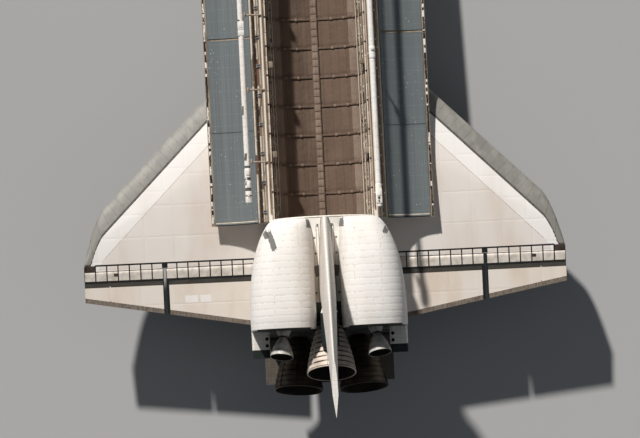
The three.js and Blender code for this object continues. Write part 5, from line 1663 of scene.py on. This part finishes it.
def door_latches(body, side, turn):
    """Hinge arms near the sill, with rings on the door's inner face beside them."""
    bm, rings = meshes(2)
    for k in range(13):
        x = 606 + FRAME_PITCH * k
        if x > 1296:
            break
        for dx in (-2.2, 2.2):
            curved_slab(bm, side, x + dx - 0.6, x + dx + 0.6, 0.03, 0.2, 2.6, 5.2, 5)
        a, b = door_point(x - 3, side, 0.17, 4.2), door_point(x + 3, side, 0.17, 4.2)
        bar(bm, a, b, 1.0, sides=12)
        for t, dx in ((0.235, 14), (0.29, 30), (0.18, 42)):
            if x + dx > 1300:
                continue
            base = door_point(x + dx, side, t, 3.0)
            way = door_point(x + dx, side, t, 6.0) - base
            profile = [(0.8, 0), (1.9, 0), (1.9, 0.5), (1.4, 0.8), (0.8, 0.5), (0.8, 0)]
            spun(rings, profile, base, way, 16)
    piece(f"{body}_hinge_arms", bm, ["alloy"], turn=turn, body=body)
    piece(f"{body}_rings", rings, ["white_paint"], turn=turn, body=body)


def radiator(body, node, side, x0, x1, turn):
    """Two curved panels of film-covered honeycomb with a gap between, and their edge manifolds."""
    bm, trims = meshes(2)
    middle = (x0 + x1) / 2
    for start_x, end_x in ((x0 + 2.2, middle - 0.5), (middle + 0.5, x1 - 2.2)):
        curved_slab(bm, side, start_x, end_x, 0.352, 0.963, 2.6, 3.75, 56, 12)
        for t in (0.354, 0.958):
            curved_slab(trims, side, start_x, end_x, t, t + 0.005, 2.6, 4.15, 1, 12)
        for x in (start_x, end_x - 0.9):
            curved_slab(trims, side, x, x + 0.9, 0.354, 0.962, 2.6, 3.95, 40)
    if x1 > 1300:
        curved_slab(trims, side, x1 - 4.6, x1 - 0.6, 0.356, 0.962, 2.4, 3.3, 40, 1, 1)
        curved_slab(trims, side, x1 - 6.8, x1 - 4.8, 0.356, 0.962, 2.6, 3.9, 40, 1, 2)
    piece(f"{node}_film", bm, ["radiator"], [node], sharp=40, turn=turn, body=body)
    skins = ["radiator", "dark", "cream_trim"]
    piece(f"{node}_trims", trims, skins, turn=turn, body=body)


# Robot arm, sensor boom and their cradles

ROLL_Y, ROLL_Z = 100.5, 413.43
ARM_Y = -ROLL_Y - 43 * cos(radians(12))
ARM_Z = ROLL_Z + 43 * sin(radians(12))
SHOULDER_X, ELBOW_X, WRIST_X = 679.5, 931, 1206
ELBOW_Z = ARM_Z - 5.8
BOOM_Y, BOOM_Z = 108, 446


def wrapped_tube(bm, x0, x1, radius, y, z, pitch=15.0, slack=0.3):
    """A tube in its fabric wrap: drawn in by a band at every pitch and softly creased between."""
    count = max(4, round((x1 - x0) / 2.2))
    rings = []
    for u in steps(count):
        x = mix(x0, x1, u)
        pinch = abs(sin(pi * (x - x0) / pitch)) ** 0.35
        end = min(1.0, (x - x0) / 1.2, (x1 - x) / 1.2)
        ring = []
        for k in range(40):
            a = tau * k / 40
            crease = noise.noise(Vector((x / 5, 2.2 * cos(a), 2.2 * sin(a))))
            r = radius - 0.12 - 0.22 * (1 - pinch) + slack * crease * pinch * 0.8
            r = min(r, radius) * (0.9 + 0.1 * max(0.0, end) ** 0.5)
            ring.append((x, y + r * cos(a), z + r * sin(a)))
        rings.append(ring)
    loft(bm, rings)


def arm_block(bm, x0, x1, y0, y1, z0, z1, bevel):
    """A block beside the arm's middle line."""
    block(bm, (x0, ARM_Y + y0, ARM_Z + z0), (x1, ARM_Y + y1, ARM_Z + z1), bevel)


def arm_across(bm, x, z, radius, half):
    """A round bar across the arm."""
    bar(bm, (x, ARM_Y - half, z), (x, ARM_Y + half, z), radius, sides=40)


def arm_cradle():
    bm, tube_parts = meshes(2)
    bar(tube_parts, (660, -ROLL_Y, ROLL_Z), (1290, -ROLL_Y, ROLL_Z), 1.38, sides=24)
    for x in range(664, 1290, 26):
        bar(tube_parts, (x, -ROLL_Y, ROLL_Z), (x + 2.4, -ROLL_Y, ROLL_Z), 1.39, sides=24)
    for x in (748, 905, 1050, 1190):
        bar(bm, (x, -ROLL_Y, ROLL_Z), (x, ARM_Y + 8, ARM_Z - 2), 1.2, 2.2, 24)
        arm_block(bm, x - 5, x + 5, 6.95, 10, -5, 5, 0.7)
        arm_block(bm, x - 2.4, x + 2.4, 7.2, 9.6, 4.6, 6.4, 0.3)
        bar(bm, (x - 5.6, ARM_Y + 8.6, ARM_Z + 3), (x + 5.6, ARM_Y + 8.6, ARM_Z + 3), 1.0, sides=16)
    x = SHOULDER_X
    arm_block(bm, x - 8, x + 8, -4.5, 4.5, -7.6, -6.62, 0.25)
    bar(bm, (x, -ROLL_Y, ROLL_Z), (x, ARM_Y + 4.6, ARM_Z - 8.1), 1.25)
    piece("arm_roll_tube", tube_parts, ["tan_trim"], body="arm_cradle")
    piece("arm_cradle_posts", bm, ["tray"], ["arm_pedestals"], body="arm_cradle")


def arm_shoulder():
    bm = bmesh.new()
    x = SHOULDER_X
    bar(bm, (x, ARM_Y, ARM_Z - 6.56), (x, ARM_Y, ARM_Z - 5.4), 4.4, sides=40)
    arm_block(bm, x - 3.6, x + 3.6, -6.2, 6.2, -6.3, -5.2, 0.2)
    for y in (-6.2, 4.7):
        ear = bmesh.new()
        arm_block(ear, x - 3.6, x + 3.6, y, y + 1.5, -6.3, 4.6, 0.4)
        hole = bmesh.new()
        arm_across(hole, x, ARM_Z, 2.45, 9)
        carve(ear, hole)
        join_into(bm, ear)
    piece("shoulder_yoke", bm, ["white_paint"], ["arm_shoulder"], body="shoulder")


def elbow_lug(bm, way, y0, y1):
    """An ear round the elbow's pin, reaching back along the arm."""
    turns = [radians(-135 + 15 * k) for k in range(16)]
    outline = [(-9, 3.2), (-9, 0.4)]
    outline += [(2.35 * cos(a), 2.35 * sin(a)) for a in turns]
    outline += [(-3.05, 2.35), (-3.05, 3.2)]
    loft(bm, [[(ELBOW_X + way * x, ARM_Y + y, ELBOW_Z + z) for x, z in outline] for y in (y0, y1)])


def upper_arm():
    wrap, joints = meshes(2)
    arm_across(joints, SHOULDER_X, ARM_Z, 4.55, 4.5)
    arm_across(joints, SHOULDER_X, ARM_Z, 2.35, 6.2)
    wrapped_tube(wrap, SHOULDER_X + 3, SHOULDER_X + 9, 4.2, ARM_Y, ARM_Z, 6)
    wrapped_tube(wrap, SHOULDER_X + 7.6, ELBOW_X - 12, 5.4, ARM_Y, ARM_Z)
    arm_block(joints, ELBOW_X - 14, ELBOW_X + 2.7, -6.15, 6.15, -3.05, 5.95, 1.1)
    arm_block(joints, ELBOW_X - 11, ELBOW_X - 2, -3, 3, 5.6, 6.6, 0.4)
    for y0, y1 in ((-4.35, -2.25), (2.25, 4.35)):
        lug, pin = meshes(2)
        elbow_lug(lug, 1, y0, y1)
        arm_across(pin, ELBOW_X, ELBOW_Z, 1.4, 12)
        carve(lug, pin)
        join_into(joints, lug)
    piece("upper_arm_wrap", wrap, ["wrap"], ["upper_arm"], sharp=50, body="upper_arm")
    piece("upper_arm_joints", joints, ["white_paint"], body="upper_arm")


def lower_arm():
    wrap, joints, ends = meshes(3)
    arm_across(joints, ELBOW_X, ELBOW_Z, 1.35, 4.4)
    elbow_lug(joints, -1, -1.95, 1.95)
    arm_block(joints, ELBOW_X + 3.05, ELBOW_X + 14, -6.15, 6.15, -3.05, 5.95, 1.1)
    wrapped_tube(wrap, ELBOW_X + 12, WRIST_X, 5.4, ARM_Y, ARM_Z)
    for x0, x1, radius in ((-4, 16, 6.4), (14, 22, 4.8), (20, 36, 6.4), (34, 42, 5.2)):
        wrapped_tube(wrap, WRIST_X + x0, WRIST_X + x1, radius, ARM_Y, ARM_Z, 8, 0.4)
    tip = [(0, 0), (5.6, 0), (6.5, 0.8), (6.55, 8), (6.0, 8.4), (6.0, 9.6), (6.55, 10), (6.55, 21), (6.2, 22),
           (5.2, 22), (5.0, 19), (0, 19)]
    spun(ends, tip, (WRIST_X + 40, ARM_Y, ARM_Z), (1, 0, 0), 48)
    paint(ends, lambda middle, normal, index: int(WRIST_X + 47.6 < middle.x < WRIST_X + 54))
    arm_block(joints, WRIST_X - 1, WRIST_X + 9, -3.4, 3.4, 5.6, 7.4, 0.6)
    arm_block(joints, WRIST_X + 22, WRIST_X + 33, -3, 3, 5.6, 7.2, 0.6)
    arm_block(joints, WRIST_X + 44, WRIST_X + 50, -2, 2, 6, 8.6, 0.4)
    piece("lower_arm_wrap", wrap, ["wrap"], ["lower_arm"], sharp=50, body="lower_arm")
    piece("lower_arm_joints", joints, ["white_paint"], body="lower_arm")
    piece("arm_end_can", ends, ["white_paint", "dark"], body="lower_arm")


def boom_cradle():
    bm, roll = meshes(2)
    bar(roll, (660, ROLL_Y, ROLL_Z), (1290, ROLL_Y, ROLL_Z), 1.38, sides=24)
    for x in (700, 990, 1260):
        bar(bm, (x, ROLL_Y, ROLL_Z), (x, BOOM_Y, BOOM_Z - 9), 1.3, 2.4, 24)
        block(bm, (x - 5, BOOM_Y - 5, BOOM_Z - 11), (x + 5, BOOM_Y + 3, BOOM_Z - 6.55), 0.8)
        block(bm, (x - 2, BOOM_Y - 6.2, BOOM_Z - 10), (x + 2, BOOM_Y - 5, BOOM_Z - 4.5), 0.3)
    piece("boom_roll_tube", roll, ["tan_trim"], body="boom_cradle")
    piece("boom_cradle_posts", bm, ["white_paint"], ["boom_pedestals"], body="boom_cradle")


def sensor_boom():
    wrap, pack, lenses = meshes(3)
    for x0, x1 in ((710, 978), (1002, 1244)):
        wrapped_tube(wrap, x0, x1, 5.4, BOOM_Y, BOOM_Z, 22, 0.15)
    for x0, x1 in ((686, 710), (978, 1002), (1244, 1288)):
        wrapped_tube(wrap, x0, x1, 6.5, BOOM_Y, BOOM_Z, 12, 0.15)
    bar(pack, (684, BOOM_Y, BOOM_Z), (687, BOOM_Y, BOOM_Z), 4.6, sides=32)
    for x in (983, 697):
        bar(pack, (x, BOOM_Y, BOOM_Z + 5), (x, BOOM_Y, BOOM_Z + 8.4), 3.2, sides=24)
        bar(pack, (x, BOOM_Y, BOOM_Z + 7), (x, BOOM_Y, BOOM_Z + 9.6), 0.9, sides=16)
    block(pack, (1254, BOOM_Y - 6, BOOM_Z - 2), (1282, BOOM_Y + 6, BOOM_Z + 7.9), 0.8)
    block(pack, (1258, BOOM_Y - 4, BOOM_Z + 7.2), (1268, BOOM_Y + 4, BOOM_Z + 9.4), 0.5)
    for x, r in ((1272, 2.2), (1278, 1.5)):
        bar(lenses, (x, BOOM_Y, BOOM_Z + 7.6), (x, BOOM_Y, BOOM_Z + 9), r, sides=24)
    piece("boom_wrap", wrap, ["boom_wrap"], ["sensor_boom"], sharp=50, body="boom_cradle")
    piece("boom_pack", pack, ["white_paint"], body="boom_cradle")
    piece("boom_lenses", lenses, ["dark"], body="boom_cradle")


# Airlock, docking ring and dish in the front of the bay

AIRLOCK_X = 650


def airlock():
    tank, beams, rails = meshes(3)
    profile = [(0, 322), (27, 322), (31, 323.5), (33, 328), (33, 352), (33.4, 353), (33.4, 356), (33, 357),
               (33, 410), (33.4, 411), (33.4, 414), (33, 415), (33, 441), (31.5, 445), (28, 446.4), (26, 447),
               (26, 461.8), (0, 461.8)]
    spun(tank, profile, (AIRLOCK_X, 0, 0), (0, 0, 1), 96)
    spun(tank, [(0, 0), (22, 0), (22, 62), (0, 62)], (BAY_FRONT_X + 0.1, 0, 366), (1, 0, 0), 72)
    for dx in (-26, 26):
        block(beams, (AIRLOCK_X + dx - 3, -93.9, 402), (AIRLOCK_X + dx + 3, 93.9, 410), 0.6)
        for y in range(-84, 85, 14):
            if abs(y) > 20:
                block(beams, (AIRLOCK_X + dx - 3.3, y - 2, 403), (AIRLOCK_X + dx + 3.3, y + 2, 409), 0.2)
    for degrees in range(15, 360, 60):
        a = radians(degrees)
        path = []
        for r, z in ((33, 418), (36, 420), (36, 437), (33, 439)):
            path.append((AIRLOCK_X + r * cos(a), r * sin(a), z))
        tube(rails, path, 0.6, 8)
    piece("airlock_quilt", tank, ["boom_wrap"], ["airlock"], sharp=40)
    piece("airlock_beams", beams, ["alloy"])
    piece("airlock_rails", rails, ["rail_yellow"])


def docking_ring():
    bm, hooks = meshes(2)
    collar = [(20, 462.1), (30, 462.1), (30, 468), (29, 470), (24, 470), (24, 469.5), (20, 469.5),
              (20, 462.1)]
    guide = [(21.6, 469), (24, 469), (24, 476.4), (23.4, 477), (22.2, 477), (21.6, 476.4), (21.6, 469)]
    for profile in (collar, guide):
        spun(bm, profile, (AIRLOCK_X, 0, 0), (0, 0, 1), 96)
    for degrees in (30, 150, 270):
        place = Matrix.Translation((AIRLOCK_X, 0, 0)) @ Matrix.Rotation(radians(degrees), 4, "Z")
        block(bm, (21.6, -6, 475.5), (23.2, 6, 484.5), 0.5, place)
    for k in range(24):
        a = tau * k / 24
        spot = Vector((AIRLOCK_X + 27 * cos(a), 27 * sin(a), 469.6))
        bar(hooks, spot, spot + Vector((0, 0, 1.6)), 1.1, sides=12)
    piece("docking_collar", bm, ["alloy"], ["docking_ring"])
    piece("docking_hooks", hooks, ["dark"])


def dish():
    bm, mount = meshes(2)
    base, way = Vector((612, 73, 440)), Vector((0, -1, 0))
    bowl = [(15 * t, 2.2 + 4.3 * t * t) for t in steps(16)[1:]]
    back = [(r, h + 0.7) for r, h in reversed(bowl)]
    spun(bm, [(0, 2.2)] + bowl + back + [(0, 2.9)], base, way, 72)
    bar(mount, base + Vector((0, 6, 0)), base + Vector((0, -3.2, 0)), 4, 3.4, 32)
    block(mount, (608, 90, 412.1), (616, 97, 419), 0.5)
    bar(mount, (612, 93, 417), (612, 76, 439), 2.6, sides=24)
    piece("dish_bowl", bm, ["white_paint"], ["dish_antenna"], sharp=50)
    piece("dish_mount", mount, ["alloy"])


# Landing gear

# Station, distance out, height and tyre radius
MAIN_AXLE = (1173, 136, 193.5, 22.25)
NOSE_AXLE_X = 378
NOSE_RADIUS = 16
GROUND = MAIN_AXLE[0] * sin(PARKED_PITCH) + MAIN_AXLE[2] * cos(PARKED_PITCH) - MAIN_AXLE[3]
NOSE_AXLE_Z = (GROUND + NOSE_RADIUS - NOSE_AXLE_X * sin(PARKED_PITCH)) / cos(PARKED_PITCH)


def wheel(tyres, hubs, middle, radius, half):
    """A smooth aircraft tyre with rib grooves and a dished hub with bolts."""
    hub = radius * 0.52
    tread = [(radius - 0.02, -half * 0.42)]
    deep = radius - 0.45
    for k in (-0.3, -0.1, 0.1, 0.3):
        w = half * k
        tread += [(radius, w - 0.32), (deep, w - 0.24), (deep, w + 0.24), (radius, w + 0.32)]
    tread += [(radius - 0.02, half * 0.42)]
    side = [(hub, 0.72), (hub * 1.12, 0.9), (radius * 0.76, 0.985), (radius * 0.87, 0.93),
            (radius * 0.95, 0.74), (radius * 0.985, 0.56)]
    profile = [(r, -half * w) for r, w in side] + tread + [(r, half * w) for r, w in reversed(side)]
    spun(tyres, profile, middle, (0, 1, 0), 96)
    for s in (-1, 1):
        shares = ((0, 0.52), (0.3, 0.52), (0.36, 0.3), (0.72, 0.36), (0.84, 0.62), (0.98, 0.8), (1.0, 0.66))
        spun(hubs, [(hub * r, s * half * w) for r, w in shares], middle, (0, 1, 0), 64)
        for k in range(12):
            a = tau * k / 12
            out = hub * 0.62
            spot = Vector(middle) + Vector((out * cos(a), s * half * 0.3, out * sin(a)))
            bar(hubs, spot, spot + Vector((0, s * half * 0.12, 0)), 0.5 + radius * 0.01, sides=8)


def twin_wheels(name, middle, radius, half, offset, axle):
    """Two wheels on one axle, which are one body."""
    tyres, hubs = meshes(2)
    x, y, z = middle
    for s in (-1, 1):
        wheel(tyres, hubs, (x, y + s * offset, z), radius, half)
    bar(hubs, (x, y - offset, z), (x, y + offset, z), axle, sides=32)
    piece(f"{name}_tyres", tyres, ["tyre"], [name], sharp=40, body=name)
    piece(f"{name}_hubs", hubs, ["steel"], sharp=30, body=name)


def main_gear(side_name, side):
    x, y, z, radius = MAIN_AXLE
    y *= side
    roof = MAIN_WELL[4] - 0.1
    bm, chrome, lines = meshes(3)
    foot = bmesh.new()
    bar(foot, (x, y - 7, z), (x, y + 7, z), 7, sides=48)
    axle = bmesh.new()
    bar(axle, (x, y - 12, z), (x, y + 12, z), 3.6, sides=48)
    carve(foot, axle)
    spun(bm, [(7.2, 0), (7.6, 1), (7.6, 6), (6.9, 7), (7.4, 40), (8.2, 42), (8.2, 50), (7.8, 52), (8, 74)],
         (x + 2, y, 238), (0, 0, 1), 48)
    bar(chrome, (x + 2, y, 243), (x + 0.4, y, z + 5), 5, sides=48)
    bar(bm, (x - 92, y, roof - 9), (x, y, 244), 3.6, sides=32)
    bar(bm, (x - 60, y, roof - 30.6), (x - 44, y, roof - 41), 4.6, sides=32)
    block(bm, (x - 98, y - 9, roof - 16), (x - 86, y + 9, roof), 1)
    for s in (-1, 1):
        for a, b in (((5, 236), (17, 217)), ((17, 217), (4, z + 4))):
            bar(bm, (x + a[0], y + s * 1.5, a[1]), (x + b[0], y, b[1]), 1.1, 0.9, 16)
    bar(bm, (x + 17, y - 2.6, 217), (x + 17, y + 2.6, 217), 1.6, sides=24)
    for s in (-1, 1):
        path = [(x + 8, y + s * 5, roof - 2), (x + 9, y + s * 5, 280), (x + 9.5, y + s * 5, 250),
                (x + 12, y + s * 4, 236), (x + 10, y + s * 4, 216), (x + 6, y + s * 5.5, z + 4)]
        tube(lines, smooth(path, 6), 0.45, 8)
    join_into(bm, foot)
    node = f"main_leg_{side_name}"
    piece(f"{node}_strut", bm, ["steel"], [node], sharp=30)
    piece(f"{node}_piston", chrome, ["chrome"])
    piece(f"{node}_lines", lines, ["tyre"])
    twin_wheels(f"main_wheels_{side_name}", (x, y, z), radius, 8, 17, 3.5)
    gear_door(f"main_gear_door_{side_name}", side, 164.6, 3, (1048, 1186), 214, wing_underside)


def wing_underside(x):
    """The height of a main gear door's upper edge, along the wing's belly."""
    return min(275, chord_z(166) - skin_rise(x, 166, LOWER) - 0.05)


def gear_door(node, side, y, thick, span, low, top_at):
    """A hanging door: tiles outside, ribbed enamel inside, its upper edge along the skin."""
    bm, ribs = meshes(2)
    rings = []
    for t in steps(24):
        x = mix(*span, t)
        sag = 1.5 * (1 - min(1, min(t, 1 - t) * 12)) ** 2
        high = top_at(x)
        ring = [(y, low + sag), (y + thick - 0.6, low + sag), (y + thick, low + sag + 0.6),
                (y + thick, high), (y, high)]
        rings.append([(x, side * w, z) for w, z in ring])
    loft(bm, rings)
    face_out(bm)
    paint(bm, lambda middle, normal, index: int(normal.y * side < 0.5))
    for k in range(6):
        x = mix(span[0] + 8, span[1] - 8, k / 5)
        a, b = sorted((side * (y - 0.9), side * (y + 0.2)))
        block(ribs, (x - 0.7, a, low + 4), (x + 0.7, b, top_at(x) - 4), 0.2)
    piece(f"{node}_leaf", bm, ["belly_tile", "steel"], [node])
    piece(f"{node}_ribs", ribs, ["steel"])


def nose_gear():
    x, roof = NOSE_AXLE_X, 329.9
    leg, fork, lines = meshes(3)
    spun(leg, [(5, 0), (5.4, 1), (5.4, 5), (4.9, 6), (5.2, 30), (6, 32), (6, 36), (5.6, 37), (6, 67)],
         (x, 0, 262.6), (0, 0, 1), 48)
    bar(leg, (x - 62, 0, roof - 7), (x - 1, 0, 274), 2.6, sides=24)
    block(leg, (x - 68, -7, roof - 14), (x - 56, 7, roof), 0.8)
    bar(leg, (x, -20.9, 318), (x, 20.9, 318), 3, sides=32)
    foot = bmesh.new()
    bar(foot, (x, -4.6, NOSE_AXLE_Z), (x, 4.6, NOSE_AXLE_Z), 4.6, sides=40)
    axle = bmesh.new()
    bar(axle, (x, -9, NOSE_AXLE_Z), (x, 9, NOSE_AXLE_Z), 2.3, sides=40)
    carve(foot, axle)
    bar(fork, (x, 0, NOSE_AXLE_Z + 3), (x, 0, 261.8), 3.6, 4.2, 40)
    for z in (276, 282):
        bar(leg, (x - 7.4, 0, z), (x - 4.4, 0, z), 2.6, 2.0, 32)
    for s in (-1, 1):
        path = [(x + 6, s * 3, 326), (x + 6.4, s * 3, 300), (x + 6.2, s * 3, 276), (x + 6.2, s * 3, 264.5)]
        tube(lines, smooth(path, 6), 0.4, 8)
    join_into(fork, foot)
    piece("nose_leg_strut", leg, ["steel"], ["nose_leg"], sharp=30)
    piece("nose_leg_lines", lines, ["tyre"])
    piece("nose_fork_piston", fork, ["chrome"], ["nose_fork"], body="nose_fork")
    twin_wheels("nose_wheels", (x, 0, NOSE_AXLE_Z), NOSE_RADIUS, 4.4, 10.6, 2.2)
    for side_name, side in SIDES.items():
        gear_door(f"nose_gear_door_{side_name}", side, 21.6, 2, (296, 388), 263, nose_underside)


def nose_underside(x):
    """The belly's height just outboard of the nose gear well."""
    _, half, waist, _, bottom, _, low = nose_row(x, 40)
    share = (1 - min(1, 23 / half) ** low) ** (1 / low)
    return waist - (waist - bottom) * share - 0.3


# Crew hatch and cabin


def side_hatch():
    bm = bmesh.new()
    rings = []
    for r in (0, 5, 10, 15, 18.6, 19.6, 20):
        ring = []
        for k in range(72):
            a = tau * k / 72
            px, pz = HATCH.x + r * cos(a), HATCH.z + r * sin(a)
            ring.append((px, -hull_half(px, pz) + (0.25 if r > 19 else 0), pz))
        rings.append(ring)
    loft(bm, rings, capped=False)
    rim = [[(p[0], p[1] + d, p[2]) for p in rings[-1]] for d in (0, 2.9)]
    loft(bm, rim, capped=False)
    paint(bm, lambda middle, normal, index: int((middle - Vector((HATCH.x, middle.y, HATCH.z))).length > 16))
    piece("hatch_leaf", bm, ["white_tile", "black_tile"], ["side_hatch"], sharp=40,
          body="side_hatch")
    glass = bmesh.new()
    y = -hull_half(HATCH.x, HATCH.z + 3)
    bar(glass, (HATCH.x, y + 1.5, HATCH.z + 3), (HATCH.x, y - 0.12, HATCH.z + 3), 5, sides=48)
    piece("hatch_pane", glass, ["glass"], body="side_hatch")


def dress(node, finish):
    """Gives a CAD node that stays in sight a finish of its own."""
    mesh = NODES[node].data
    mesh.materials.clear()
    mesh.materials.append(FINISH[finish])


# The set: floor, light and camera


FLOOR_HALF = 260
# Name, strength, colour, spread in degrees and the way the light falls
LIGHTS = (("key", 4.1, "#fffaf4", 2.5, (1.4, 0.58, -1)), ("fill", 0.06, "#e8f0ff", 40, (-0.5, -0.55, -0.65)))


def studio():
    bm = bmesh.new()
    bmesh.ops.create_grid(bm, x_segments=1, y_segments=1, size=FLOOR_HALF)
    floor = mesh_object("studio_floor", bm)
    bm.free()
    made, _, shader, _ = start("studio floor", 0.85)
    shader.inputs["Base Color"].default_value = srgb("#b4b5b6")
    floor.data.materials.append(made)
    world = bpy.data.worlds.new("studio")
    bpy.context.scene.world = world
    world.use_nodes = True
    sky = world.node_tree.nodes["Background"]
    sky.inputs["Color"].default_value = srgb("#dfe6ee")
    sky.inputs["Strength"].default_value = 0.13
    for name, power, warmth, spread, way in LIGHTS:
        light = bpy.data.lights.new(name, "SUN")
        light.energy = power
        light.color = srgb(warmth)[:3]
        light.angle = radians(spread)
        lamp = bpy.data.objects.new(name, light)
        lamp.rotation_euler = Vector(way).to_track_quat("-Z", "Y").to_euler()
        bpy.context.scene.collection.objects.link(lamp)


# Angles in degrees, the station looked at, the distance in metres, pixels to the metre, the shift in
# pixels and the lens in millimetres
CAMERA = {"yaw": -0.86, "pitch": 2.99, "roll": -2.72, "look": (1300, 0, 330), "away": 400, "scale": 20.272,
          "shift": (3.0, 0.8), "lens": 456.1}


def camera():
    """A long lens from high above: the picture's axes in stations, then turned to the row."""
    y, p, r = (radians(CAMERA[k]) for k in ("yaw", "pitch", "roll"))
    right = Vector((-cos(r) * sin(p) * sin(y) - sin(r) * cos(p),
                    cos(r) * cos(y),
                    -cos(r) * cos(p) * sin(y) + sin(r) * sin(p)))
    down = Vector((-sin(r) * sin(p) * sin(y) + cos(r) * cos(p),
                   sin(r) * cos(y),
                   -sin(r) * cos(p) * sin(y) - cos(r) * sin(p)))
    toward = Vector((sin(p) * cos(y), sin(y), cos(p) * cos(y)))
    right, down, toward = (TURN.to_3x3() @ way for way in (right, down, toward))
    aside, below = (pixels / CAMERA["scale"] for pixels in CAMERA["shift"])
    spot = TO_ROW @ Vector(CAMERA["look"])
    spot += toward * CAMERA["away"] - right * aside + down * below
    lens = bpy.data.cameras.new("main")
    lens.lens, lens.sensor_width = CAMERA["lens"], 36
    lens.clip_start, lens.clip_end = 1, 2000
    lens.dof.use_dof = False
    made = bpy.data.objects.new("main", lens)
    turn = Matrix((right, -down, toward)).transposed().to_4x4()
    made.matrix_world = Matrix.Translation(spot) @ turn
    bpy.context.scene.collection.objects.link(made)
    bpy.context.scene.camera = made


def view():
    """Plain sRGB, so that sunlit whites keep the photograph's contrast."""
    bpy.context.scene.view_settings.view_transform = "Standard"


def build():
    nose_cap()
    forward_fuselage()
    side_hatch()
    mid_fuselage()
    bay_lining()
    bay_frames()
    side_trays()
    keel_bridge()
    payload_latches()
    sills()
    bulkheads()
    aft_fuselage()
    body_flap()
    for engine in ENGINES:
        main_engine(*engine)
    fin()
    chute_housing()
    for side_name, side in SIDES.items():
        wing(side_name, side)
        carbon_edge(side_name, side)
        for place in ELEVON_SPANS:
            elevon(place, side_name, side)
        pod(side_name, side)
        pod_nozzle(side_name, side)
        rudder(side_name, side)
        bay_door(side_name, side)
        main_gear(side_name, side)
    arm_cradle()
    arm_shoulder()
    upper_arm()
    lower_arm()
    boom_cradle()
    sensor_boom()
    airlock()
    docking_ring()
    dish()
    nose_gear()
    dress("flight_deck", "cabin")
    dress("cabin_glazing", "glass")


build()
studio()
camera()
view()
